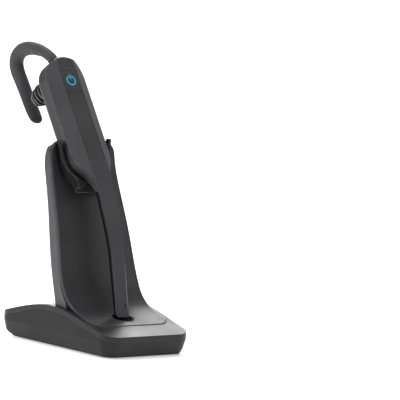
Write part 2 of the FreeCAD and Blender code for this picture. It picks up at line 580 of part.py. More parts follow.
def plan_wire(grow, n):
    """Front-view outline of the whole headset, grown outwards, at depth n."""
    top, half = BODY_STRAIGHT, BODY_HALF + grow
    points = [(half, top), (half, 8.0), (11.9 + 0.9 * grow, 0.2 - 0.4 * grow),
              (8.6 + 0.7 * grow, -4.6 - 0.7 * grow), (6.4 + 0.8 * grow, -7.8 - 0.5 * grow),
              (BOOM_ROOT_HALF + grow, -13.5), (BOOM_ROOT_HALF + grow, -29.0), (BOOM_MID_HALF + grow, -50.0),
              (BOOM_TIP_HALF + grow, -83.8), (4.0 + grow, -85.9), (2.4 + grow, -87.2)]
    edges = [arc(V(-half, n, top), V(0, n, top + half), V(half, n, top))]
    for side in (1, -1):
        p = [V(side * x, n, s) for x, s in points]
        edges += [line(p[0], p[1]), arc(p[1], p[2], p[3]), arc(p[3], p[4], p[5]), line(p[5], p[6]),
                  line(p[6], p[7]), line(p[7], p[8]), arc(p[8], p[9], p[10])]
    x, s = points[-1]
    edges.append(line(V(x, n, s), V(-x, n, s)))
    return Part.Wire(Part.__sortEdges__(edges))


def body_side(grow):
    """Side-view outline of the body down to the boom's root, as a prism across X."""
    x, front, rear, top = -60.0, -grow, BODY_DEPTH + grow, BODY_STRAIGHT + BODY_HALF + grow
    round_front, round_rear = 0.3, 2.0
    low_depth = min(-grow, 0.5)
    low_front, low_rear = boom_point(low_depth, BOOM_START, x=x), boom_point(BOOM_THICK + grow, BOOM_START, x=x)
    slant = math.sqrt(0.5)
    p = [V(x, front, 0), V(x, front, top - round_front), V(x, front + round_front, top),
         V(x, rear - round_rear, top), V(x, rear, top - round_rear), V(x, rear, 5.0 - 0.2 * grow)]
    edges = [line(p[0], p[1]),
             arc(p[1], V(x, front + round_front * (1 - slant), top - round_front * (1 - slant)), p[2]),
             line(p[2], p[3]),
             arc(p[3], V(x, rear - round_rear * (1 - slant), top - round_rear * (1 - slant)), p[4]),
             line(p[4], p[5]), line(p[5], low_rear), line(low_rear, low_front),
             arc(low_front, boom_point((low_depth - grow) / 2, BOOM_START / 2, x=x), p[0])]
    return face_of(edges).extrude(V(120, 0, 0))


def facets(grow):
    """The two wedges in front of the body's side facets."""
    run, fall = BODY_HALF - STRIP_HALF, FACET_DEPTH
    length = math.hypot(run, fall)
    x0, n0 = STRIP_HALF + grow * fall / length, -grow * run / length
    low, high = (x0 - run, n0 - fall), (x0 + 1.6 * run, n0 + 1.6 * fall)
    wedges = []
    for side in (-1, 1):
        corners = [V(side * x, n, -25) for x, n in (low, high, (high[0], low[1] - 2), (low[0], low[1] - 2))]
        wedges.append(Part.Face(polygon(corners)).extrude(V(0, 0, 110)))
    return wedges[0].fuse(wedges[1])


def body_slice(grow, near, far, corner=0.0):
    """Slab of the body between two depths, with its rear edge rounded by corner."""
    slab = Part.Face(plan_wire(grow, near)).extrude(V(0, far - near, 0))
    if corner:
        slab = slab.common(rounded_slab(BODY_HALF + grow, near, far, corner))
    return slab.common(body_side(grow)).cut(facets(grow))


def rounded_slab(half, near, far, corner, at_front=False):
    """Round-topped slab of constant width, with its rear or front edge rounded."""
    left, right = V(-half, near, BODY_STRAIGHT), V(half, near, BODY_STRAIGHT)
    low_left, low_right = V(-half, near, -20), V(half, near, -20)
    edges = [arc(left, V(0, near, BODY_STRAIGHT + half), right), line(right, low_right),
             line(low_right, low_left), line(low_left, left)]
    slab = face_of(edges).extrude(V(0, far - near, 0))
    face = near if at_front else far
    return slab.makeFillet(corner, [e for e in slab.Edges if e.BoundBox.ZMax > 0 and
                                    max(abs(e.BoundBox.YMin - face), abs(e.BoundBox.YMax - face)) < 1e-4])


def boom_slice(near, far, start):
    """Slab of the boom between two depths."""
    return Part.Face(plan_wire(0, -5)).extrude(V(0, 50, 0)).common(boom_layer(near, far, 60, start))


def boom_chamfers():
    """The wedges that narrow the boom's front face towards the tip."""
    wedges = []
    for side in (-1, 1):
        sections = []
        for t, x in ((-1.0, 2.4), (38.0, 4.5)):
            corners = [V(side * (x - 0.7), -0.5, t), V(side * (x + 2.8), 2.0, t), V(side * (x + 2.8), -0.5, t)]
            sections.append(polygon(corners))
        wedges.append(Part.makeLoft(sections, True, True))
    return at_boom_end(wedges[0].fuse(wedges[1]))


def mic_space(grow, near, far):
    """Room for the microphone behind the boom's front face."""
    return at_boom_end(block(-1.9 - grow, 1.9 + grow, near, far, 4.8 - grow, 8.0 + grow))


def flex_channel(grow):
    """Path of the microphone's flexible circuit, along the boom and up to the headset's board."""
    half, back, foot = 1.1 + grow, PCB_FRONT - 0.05 + grow, -1.75 - grow
    strip = boom_layer(1.4 - grow, 1.6 + grow, half, 0.5, 8.05)
    riser = block(-half, half, 1.4 - grow, back, foot, -1.45 + grow)
    tail = block(-half, half, back - 0.25 - 2 * grow, back, foot, PCB_LOW + 2.0)
    return strip.fuse(riser).fuse(tail).removeSplitter()


def front_shell():
    """Front housing with its facets, in one piece with the boom's front."""
    crown = rounded_slab(BODY_HALF, 0, FACET_DEPTH, CROWN_CORNER, True)
    shell = body_slice(0, 0, FACET_DEPTH - SEAM / 2).common(crown)
    shell = shell.fuse(boom_slice(0, BOOM_SPLIT - SEAM / 2, BOOM_START - 0.2))
    shell = shell.cut(body_slice(-SHELL, FRONT_WALL, FACET_DEPTH + 1))
    for x, s in POSTS:
        post = Part.makeCylinder(POST_R, PCB_FRONT - 0.1 - FRONT_WALL + 0.5, V(x, FRONT_WALL - 0.5, s), V(0, 1, 0))
        neck = Part.makeCylinder(POST_R - 0.6, 11.8 - PCB_FRONT, V(x, PCB_FRONT - 0.3, s), V(0, 1, 0))
        shell = shell.fuse(post.fuse(neck).cut(facets(-0.6)))
        shell = shell.cut(Part.makeCylinder(HEADSET_SCREW_R - 0.1, 9, V(x, 4.0, s), V(0, 1, 0)))
    shell = shell.cut(block(-STRIP_HALF, STRIP_HALF, -2, STRIP_THICK + 0.05, 0, BUTTON_HIGH + KEY_GAP))
    shell = shell.cut(block(-STRIP_HALF, STRIP_HALF, -2, BUTTON_THICK + BUTTON_TRAVEL + 0.15,
                            BUTTON_LOW - KEY_GAP, BUTTON_HIGH + KEY_GAP))
    middle = (BUTTON_LOW + BUTTON_HIGH) / 2
    shell = shell.cut(Part.makeCylinder(STEM_R + 0.2, 5, V(0, 0, middle), V(0, 1, 0)))
    shell = shell.cut(boom_chamfers()).cut(flex_channel(0.45)).cut(mic_space(0.15, 0.7, 2.3))
    return seated(biggest(shell.cut(mic_port())))


def mic_port():
    """Small slot in the boom's front face over the microphone."""
    slot = block(0.7, 1.9, -1, 1.2, 5.5, 7.3)
    return at_boom_end(slot.makeFillet(0.55, [e for e in slot.Edges if abs(e.tangentAt(0).y) > 0.9]))


def centre_strip():
    """Satin strip let into the front face, below the power button."""
    half = STRIP_HALF - STRIP_GROOVE
    return seated(block(-half, half, 0, STRIP_THICK, 0.15, BUTTON_LOW - 2 * KEY_GAP))


def power_button():
    """Broad key in line with the strip, with a stem towards its dome."""
    half, middle = STRIP_HALF - STRIP_GROOVE, (BUTTON_LOW + BUTTON_HIGH) / 2
    end = PCB_FRONT - DOME_HEIGHT - BUTTON_TRAVEL - 0.05
    key = block(-half, half, 0, BUTTON_THICK, BUTTON_LOW, BUTTON_HIGH)
    key = key.fuse(Part.makeCylinder(STEM_R, end - 0.5, V(0, 0.5, middle), V(0, 1, 0)))
    return seated(key.removeSplitter().cut(symbol_shape(0.02)))


def symbol_shape(grow):
    """Ring with a gap at its top, and a bar in the gap."""
    middle, deep = (BUTTON_LOW + BUTTON_HIGH) / 2, SYMBOL_DEEP + grow
    ring = Part.makeCylinder(SYMBOL_R + grow, deep, V(0, 0, middle), V(0, 1, 0))
    ring = ring.cut(Part.makeCylinder(SYMBOL_R - SYMBOL_LINE - grow, 3, V(0, -1, middle), V(0, 1, 0)))
    ring = ring.cut(block(-0.95 + grow, 0.95 - grow, -1, 2, middle, middle + 5))
    half = SYMBOL_LINE / 2 + grow
    return ring.fuse(block(-half, half, 0, deep, middle + 0.8 - grow, middle + 3.6 + grow))


def power_symbol():
    """Lit inlay of the power button."""
    return seated(Part.makeCompound(symbol_shape(0).Solids))


def trim_band():
    """Lighter band between the front and the rear housing."""
    near, far = FACET_DEPTH + SEAM / 2, FACET_DEPTH + TRIM_DEPTH - SEAM / 2
    return seated(biggest(body_slice(0, near, far).cut(body_slice(-SHELL, near - 1, far + 1))))


def rear_shell():
    """Rear housing with the screw seats, the key windows, the nozzle's hole and the hook's socket."""
    near, wall = FACET_DEPTH + TRIM_DEPTH + SEAM / 2, BODY_DEPTH - SHELL
    shell = body_slice(0, near, BODY_DEPTH, BODY_CORNER)
    shell = shell.cut(body_slice(-SHELL, near - 1, wall, BODY_CORNER - SHELL))
    socket = Part.makeCylinder(PIVOT_R + 1.3, 4.6, V(0, PIVOT_N, 61.4), V(0, 0, 1))
    shell = shell.fuse(socket.common(block(-5, 5, near, wall + 0.5, 60, 66)).common(body_side(-0.5)))
    for x, s in POSTS:
        shell = shell.cut(Part.makeCylinder(HEADSET_HEAD_R + 0.15, 4, V(x, BODY_DEPTH - 0.9, s), V(0, 1, 0)))
        shell = shell.cut(Part.makeCylinder(HEADSET_SCREW_R + 0.1, 4, V(x, wall - 1, s), V(0, 1, 0)))
    shell = shell.cut(Part.makeCylinder(PIVOT_R + PIVOT_GAP, 9, V(0, PIVOT_N, 62.2), V(0, 0, 1)))
    rocker, width = ROCKER_HALF + KEY_GAP + 0.2, KEY_HALF_WIDTH + KEY_GAP
    shell = shell.cut(block(11, 15, KEY_N - width, KEY_N + width, ROCKER_S - rocker, ROCKER_S + rocker))
    mute = MUTE_HALF + KEY_GAP
    shell = shell.cut(block(11, 15, KEY_N - width, KEY_N + width, MUTE_S - mute, MUTE_S + mute))
    shell = shell.cut(on_nozzle(Part.makeCylinder(NOZZLE_R + 0.05, 8, V(0, 0, -4))))
    for x in (-PAD_X, PAD_X):
        shell = shell.cut(Part.makeCylinder(PAD_R + 0.05, 1, V(x, BODY_DEPTH - 0.5, PAD_S), V(0, 1, 0)))
        shell = shell.cut(Part.makeCylinder(0.65, 4, V(x, BODY_DEPTH - 3, PAD_S), V(0, 1, 0)))
    return seated(biggest(shell))


def boom_back():
    """Black rear cover of the boom."""
    cover = boom_slice(BOOM_SPLIT + SEAM / 2, BOOM_THICK, BOOM_START + 0.05)
    return seated(biggest(cover.cut(flex_channel(0.45)).cut(mic_space(0.15, 0.7, 2.3))))


def mic_capsule():
    """Microphone in the boom's tip."""
    return seated(mic_space(0, 0.85, 1.85))


def mic_flex():
    """Flexible circuit from the microphone to the headset's board."""
    return seated(flex_channel(0))


def headset_board():
    """Circuit board of the headset, notched round the screw posts."""
    board = body_slice(-SHELL - 0.4, PCB_FRONT, PCB_FRONT + PCB_THICK)
    board = board.common(block(-PCB_HALF, PCB_HALF, 0, 20, PCB_LOW, PCB_HIGH))
    for x, s in POSTS:
        board = board.cut(Part.makeCylinder(POST_R - 0.4, 9, V(x, 0, s), V(0, 1, 0)))
    return seated(biggest(board))


def battery():
    """Flat rechargeable cell behind the board."""
    cell = block(-BATTERY_HALF, BATTERY_HALF, BATTERY_NEAR, BATTERY_FAR, BATTERY_LOW, BATTERY_HIGH)
    return seated(cell.makeFillet(1.2, [e for e in cell.Edges if abs(e.tangentAt(0).z) > 0.9]))


def button_dome():
    """Click dome on the board, under the power button."""
    middle = (BUTTON_LOW + BUTTON_HIGH) / 2
    return seated(Part.makeCone(DOME_R, DOME_R - 0.6, DOME_HEIGHT, V(0, PCB_FRONT, middle), V(0, -1, 0)))


def status_led():
    """Light-emitting diode beside the dome."""
    middle = (BUTTON_LOW + BUTTON_HIGH) / 2
    return seated(block(2.9, 4.1, PCB_FRONT - 0.5, PCB_FRONT, middle - 0.5, middle + 0.5))


def antenna():
    """Bent strip antenna at the board's upper end."""
    legs = block(-8.6, -7.6, PCB_FRONT - 1.6, PCB_FRONT, 50.5, 51.5)
    strip = block(-8.6, -3.0, PCB_FRONT - 1.6, PCB_FRONT - 1.3, 50.5, 54.5)
    return seated(legs.fuse(strip).removeSplitter())


def key_switches():
    """Side board with the three switches under the volume rocker and the mute key."""
    board = block(KEY_BOARD_X, KEY_BOARD_X + 0.4, 6.3, BATTERY_FAR, ROCKER_S - 7, MUTE_S + 2.4)
    for s in (ROCKER_S - NUB_REACH, ROCKER_S + NUB_REACH, MUTE_S):
        body = block(KEY_BOARD_X + 0.3, SWITCH_FACE - 0.4, KEY_N - 1.4, KEY_N + 1.4, s - 1.5, s + 1.5)
        plunger = Part.makeCylinder(NUB_R, SWITCH_FACE - KEY_BOARD_X - 1, V(KEY_BOARD_X + 1, KEY_N, s), V(1, 0, 0))
        board = board.fuse(body).fuse(plunger)
    return seated(board.removeSplitter())


def side_key(s, half, nubs):
    """Key in the right side of the rear housing, with a keeper flange and nubs inside."""
    out = BODY_HALF + KEY_PROUD
    plate = block(FLANGE_IN, out, KEY_N - KEY_HALF_WIDTH, KEY_N + KEY_HALF_WIDTH, s - half, s + half)
    plate = plate.makeFillet(0.6, [e for e in plate.Edges if e.BoundBox.XMin > out - 1e-4])
    reach = half + FLANGE_EXTRA
    key = plate.fuse(block(FLANGE_IN, FLANGE_OUT, KEY_N - 1.8, KEY_N + 1.0, s - reach, s + reach))
    for place in nubs:
        key = key.fuse(Part.makeCylinder(NUB_R, FLANGE_IN + 0.3 - NUB_END, V(NUB_END, KEY_N, place), V(1, 0, 0)))
    return seated(key.removeSplitter())


def headset_screws():
    """Three small screws through the rear housing into the front housing's posts."""
    screws = []
    for x, s in POSTS:
        head = Part.makeCylinder(HEADSET_HEAD_R, 0.78, V(x, BODY_DEPTH - 0.88, s), V(0, 1, 0))
        head = head.cut(cross_recess(V(x, BODY_DEPTH + 0.3, s), V(0, -1, 0), 0.8))
        shank = Part.makeCylinder(HEADSET_SCREW_R - 0.12, 5.0, V(x, BODY_DEPTH - 5.88, s), V(0, 1, 0))
        screws.append(head.fuse(shank))
    return seated(Part.makeCompound(screws))


def charge_pads():
    """Two gilt contact pads in the rear face."""
    pads = []
    for x in (-PAD_X, PAD_X):
        disc = Part.makeCylinder(PAD_R, 0.45, V(x, BODY_DEPTH - 0.48, PAD_S), V(0, 1, 0))
        pads.append(disc.fuse(Part.makeCylinder(0.6, 1.4, V(x, BODY_DEPTH - 1.8, PAD_S), V(0, 1, 0))))
    return seated(Part.makeCompound(pads))


# ================================================================ ear parts
def on_nozzle(shape):
    """Move a shape built up along Z onto the sound nozzle, Z = 0 at the rear face."""
    shape.rotate(V(0, 0, 0), V(1, 0, 0), -90 - NOZZLE_TILT)
    shape.translate(V(0, BODY_DEPTH, NOZZLE_S))
    return shape


def speaker_capsule():
    """Small loudspeaker behind the nozzle."""
    return seated(Part.makeCylinder(SPEAKER_R, SPEAKER_FAR - SPEAKER_NEAR, V(0, SPEAKER_NEAR, NOZZLE_S - 1),
                                    V(0, 1, 0)))


def ear_nozzle():
    """Stiff sound tube through the rear housing."""
    tube = Part.makeCylinder(NOZZLE_R, NOZZLE_LENGTH + 1.4, V(0, 0, -1.4))
    return seated(on_nozzle(tube.cut(Part.makeCylinder(NOZZLE_BORE, NOZZLE_LENGTH + 9, V(0, 0, -4)))))


def nozzle_mesh():
    """Fine metal mesh inside the nozzle's mouth."""
    return seated(on_nozzle(Part.makeCylinder(NOZZLE_BORE, 0.3, V(0, 0, NOZZLE_LENGTH - 0.6))))


def ear_tip():
    """Soft tip with four thin flanges on a sleeve over the nozzle."""
    inner = NOZZLE_R + 0.02
    outer = inner + TIP_SLEEVE
    tip = Part.makeCylinder(outer, TIP_END - TIP_START, V(0, 0, TIP_START))
    for place, radius in TIP_FLANGES:
        cone = Part.makeCone(radius, outer - 0.2, 2.6, V(0, 0, place))
        tip = tip.fuse(cone.cut(Part.makeCone(radius - 0.6, outer - 1.1, 2.6, V(0, 0, place - 0.9))))
    tip = tip.cut(Part.makeCylinder(inner, NOZZLE_LENGTH + 0.1 - TIP_START + 1, V(0, 0, TIP_START - 1)))
    return seated(on_nozzle(biggest(tip.cut(Part.makeCylinder(NOZZLE_BORE, 30, V(0, 0, 0))))))


def hook_curve(last=None):
    """Centre line of the ear hook, leaving the body straight up."""
    curve = Part.BSplineCurve()
    curve.interpolate([V(0, n, s) for n, s in HOOK_PATH[:last]])
    return curve


def hook_sizes(share):
    """Half width and half depth of the hook at a share of its length, blended smoothly."""
    places = [k / (len(HOOK_WIDE) - 1) for k in range(len(HOOK_WIDE))]
    index = max(k for k, place in enumerate(places[:-1]) if place <= share + 1e-9)
    blend = (share - places[index]) * (len(HOOK_WIDE) - 1)
    blend = blend * blend * (3 - 2 * blend)
    tail = max(0.0, (share - 1 + HOOK_TAIL) / HOOK_TAIL)
    return [(sizes[index] + (sizes[index + 1] - sizes[index]) * blend) * math.sqrt(1 - 0.88 * tail ** 2)
            for sizes in (HOOK_WIDE, HOOK_DEEP)]


def hook_section(curve, share):
    """Oval cross-section of the hook at a share of its length."""
    edge = curve.toShape()
    place = edge.getParameterByLength(edge.Length * share)
    here, tangent = edge.valueAt(place), edge.tangentAt(place)
    across = V(0, -tangent.z, tangent.y)
    wide, deep = hook_sizes(share)
    ring = Part.BSplineCurve()
    ring.interpolate([here + V(math.cos(a) * wide, 0, 0) + across * (math.sin(a) * deep)
                      for a in [math.radians(30 * k) for k in range(12)]], PeriodicFlag=True)
    return Part.Wire(ring.toShape())


def hook_core_pipe(radius):
    """Round rod along the hook's centre line, short of its tail."""
    curve = hook_curve(-2)
    tangent = curve.toShape().tangentAt(curve.FirstParameter)
    circle = Part.Circle(curve.value(curve.FirstParameter), tangent, radius)
    return Part.Wire(curve.toShape()).makePipe(Part.Face(Part.Wire(circle.toShape())))


def ear_hook_cover():
    """Soft hook that goes over the ear, ending in a flat paddle."""
    curve = hook_curve()
    shares = [k / 24 for k in range(23)] + [1 - HOOK_TAIL * k for k in (0.99, 0.6, 0.3, 0.1, 0.0)]
    cover = Part.makeLoft([hook_section(curve, share) for share in shares], True, False)
    return seated(biggest(cover.cut(hook_core_pipe(CORE_R + 0.05)).cut(pivot_shape(0.05))))


def ear_hook_core():
    """Springy metal rod inside the hook."""
    return seated(hook_core_pipe(CORE_R).cut(pivot_shape(0.05)))


def pivot_shape(grow):
    """Pin and collar of the hook, before they are seated."""
    pin = Part.makeCylinder(PIVOT_R, PIVOT_DEPTH + 0.4, V(0, PIVOT_N, 62.4), V(0, 0, 1))
    collar = Part.makeCylinder(PIVOT_R + 0.9 + grow, 0.55 + grow, V(0, PIVOT_N, 66.0), V(0, 0, 1))
    return pin.fuse(collar)


def hook_pivot():
    """Pin and collar on which the hook turns in the top of the rear housing."""
    return seated(pivot_shape(0))


# ================================================================ pieces
os.makedirs("parts", exist_ok=True)
PIECES = {
    "base_lower_shell": base_lower_shell, "base_upper_shell": base_upper_shell,
    "base_screws": base_screws, "rubber_pad": lambda: pad_block(0, FOOT_HEIGHT + PAD_SINK),
    "ballast_plate": ballast_plate,
    "charge_board": charge_board, "board_parts": board_parts, "power_jack": power_jack,
    "boom_socket_liner": socket_liner, "tower_front_panel": tower_front_panel,
    "tower_rear_shell": tower_rear_shell, "tower_screws": tower_screws, "cradle_insert": cradle_insert,
    "contact_block": contact_block, "contact_pin_left": lambda: contact_pin(-PAD_X),
    "contact_pin_right": lambda: contact_pin(PAD_X), "charge_leads": charge_leads,
    "front_shell": front_shell, "centre_strip": centre_strip, "power_button": power_button,
    "power_symbol": power_symbol, "trim_band": trim_band, "rear_shell": rear_shell,
    "boom_back": boom_back, "mic_capsule": mic_capsule, "mic_flex": mic_flex,
    "headset_board": headset_board, "battery": battery, "button_dome": button_dome,
    "status_led": status_led, "antenna": antenna, "key_switches": key_switches,
    "volume_rocker": lambda: side_key(ROCKER_S, ROCKER_HALF, (ROCKER_S - NUB_REACH, ROCKER_S + NUB_REACH)),
    "mute_key": lambda: side_key(MUTE_S, MUTE_HALF, (MUTE_S,)),
    "headset_screws": headset_screws, "charge_pads": charge_pads, "speaker_capsule": speaker_capsule,
    "ear_nozzle": ear_nozzle, "nozzle_mesh": nozzle_mesh, "ear_tip": ear_tip,
    "ear_hook_cover": ear_hook_cover, "ear_hook_core": ear_hook_core, "hook_pivot": hook_pivot,
}
for name, build in PIECES.items():
    save(name, build())
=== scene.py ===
"""Cordless office headset with an ear hook, seated in its charging stand, dressed on its CAD frame."""
import logging
import math
from dataclasses import dataclass
from enum import Enum

import bmesh
import bpy
from mathutils import Matrix, Vector


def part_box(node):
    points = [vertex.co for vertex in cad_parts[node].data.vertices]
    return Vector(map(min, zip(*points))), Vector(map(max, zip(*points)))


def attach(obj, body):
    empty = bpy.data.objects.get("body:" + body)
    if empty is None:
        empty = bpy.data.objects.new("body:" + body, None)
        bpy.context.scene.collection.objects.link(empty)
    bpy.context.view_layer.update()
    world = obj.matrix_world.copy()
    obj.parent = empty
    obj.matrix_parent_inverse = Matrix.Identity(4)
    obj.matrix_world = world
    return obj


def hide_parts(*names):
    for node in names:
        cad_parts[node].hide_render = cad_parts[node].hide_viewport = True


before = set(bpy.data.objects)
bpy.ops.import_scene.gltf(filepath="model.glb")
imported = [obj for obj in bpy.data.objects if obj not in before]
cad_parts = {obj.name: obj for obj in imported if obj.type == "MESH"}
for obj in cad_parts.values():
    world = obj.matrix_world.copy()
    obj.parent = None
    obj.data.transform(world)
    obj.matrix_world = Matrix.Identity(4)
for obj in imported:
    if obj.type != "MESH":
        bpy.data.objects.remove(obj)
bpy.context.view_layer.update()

MM = 0.001
log = logging.getLogger("headset")

# What all the mouldings share.
FLOW_SHADES = (0.88, 1.14)      # darkest and palest streaks of the melt's flow, times the colour
SPECK_SHARE = 0.14              # how far the tops of the grain go towards the edge colour
RUB_MM = 3.5                    # size of the patches in which an edge's mark, scuffing and painted highlight, is stronger or weaker
RUB_LEAST = 0.35                # edge mark in the weakest patch, as a share of the strongest
EDGE_TURN = (0.86, 0.995)       # cosines between which a rounded normal counts as an edge
HOLLOW_DARK, HOLLOW_OPEN = 0.75, (0.1, 0.55)    # painted shade in wide hollows: its darkness, and the openness it fades over
SEAM_DARK, SEAM_OPEN = 0.85, (0.25, 0.75)       # the same painted shade for joints and grooves
GLOSS_RANGE = (-0.05, 0.07)     # spread of the roughness between smoother and duller patches
RUBBED_GLOSS = -0.1             # change of roughness where an edge is rubbed
FLANK_TURN = (0.8, 0.9)         # sideways share of the normal over which a flank's painted shade starts
BLACK = (0.0, 0.0, 0.0, 1.0)
# black of the painted shade on the boom's flanks
FLANK_SHADE_BLACK = (0.001, 0.001, 0.001, 1.0)
LOOKS_AROUND = 6                # samples of the bevel and hollow nodes

# How far a copied CAD skin is cleaned and softened.
MERGE_MM = 0.01
SOFT_ANGLE = 40                 # degrees from which an edge is rounded
SOFT_STEPS = 3


class Body(Enum):
    """Bodies of the frame that new pieces ride on."""

    STAND = "stand"
    HEADSET = "headset"
    HOOK = "hook"


class Run(Enum):
    """Direction in which a metal's fine lines run."""

    ACROSS = (0.04, 1.0, 1.0)
    ALONG = (1.0, 0.04, 1.0)
    UP = (1.0, 1.0, 0.04)


# ---------------------------------------------------------------- shader helpers
def linear(colour: str, alpha: float = 1.0) -> tuple[float, float, float, float]:
    """Turns an sRGB hex colour into linear values.

    Args:
        colour: six hex digits with a leading #.
        alpha: fourth value.

    Returns:
        Red, green, blue and alpha, linear.
    """
    parts = [int(colour[i:i + 2], 16) / 255 for i in (1, 3, 5)]
    red, green, blue = [p / 12.92 if p <= 0.04045 else ((p + 0.055) / 1.055) ** 2.4 for p in parts]
    return red, green, blue, alpha


def add_node(tree: bpy.types.NodeTree, kind: str, values: dict | None = None, **settings) -> bpy.types.Node:
    """Adds a node with its settings, input values and links.

    Args:
        tree: node tree that gets the node.
        kind: the node's type.
        values: input name or index, with its value or the socket to link from.
        **settings: attributes of the node itself.

    Returns:
        The new node.
    """
    node = tree.nodes.new(kind)
    for name, value in settings.items():
        setattr(node, name, value)
    for key, value in (values or {}).items():
        if isinstance(value, bpy.types.NodeSocket):
            tree.links.new(value, node.inputs[key])
        else:
            node.inputs[key].default_value = value
    return node


def start_material(name: str) -> tuple[bpy.types.Material, bpy.types.NodeTree, bpy.types.NodeSocket]:
    """Makes an empty material.

    Args:
        name: the material's name.

    Returns:
        The material, its tree and the object coordinates.
    """
    material = bpy.data.materials.new(name)
    material.use_nodes = True
    tree = material.node_tree
    tree.nodes.clear()
    return material, tree, add_node(tree, "ShaderNodeTexCoord").outputs["Object"]


def spread(tree: bpy.types.NodeTree, source: bpy.types.NodeSocket, low: float, high: float,
           start: float = 0.3, end: float = 0.7) -> bpy.types.NodeSocket:
    """Maps a pattern's middle range onto two values.

    Args:
        tree: node tree.
        source: pattern between 0 and 1.
        low: value at start.
        high: value at end.
        start: pattern value that gives low.
        end: pattern value that gives high.

    Returns:
        The mapped value.
    """
    node = add_node(tree, "ShaderNodeMapRange",
                    {"Value": source, "From Min": start, "From Max": end, "To Min": low, "To Max": high})
    return node.outputs["Result"]


def blended(tree: bpy.types.NodeTree, factor: bpy.types.NodeSocket, first: tuple | bpy.types.NodeSocket,
            second: tuple | bpy.types.NodeSocket) -> bpy.types.NodeSocket:
    """Mixes two colours by a factor and returns the mixed colour."""
    node = add_node(tree, "ShaderNodeMix", {0: factor, 6: first, 7: second}, data_type="RGBA")
    return node.outputs[2]


def edge_mask(tree: bpy.types.NodeTree, rounded: bpy.types.NodeSocket) -> bpy.types.NodeSocket:
    """Finds the piece's edges, where its rounded normal leaves its own.

    Args:
        tree: node tree.
        rounded: normal with rounded edges.

    Returns:
        1 at the edges, 0 on the faces.
    """
    own = add_node(tree, "ShaderNodeNewGeometry").outputs["Normal"]
    dot = add_node(tree, "ShaderNodeVectorMath", {0: rounded, 1: own}, operation="DOT_PRODUCT")
    return spread(tree, dot.outputs["Value"], 1.0, 0.0, *EDGE_TURN)


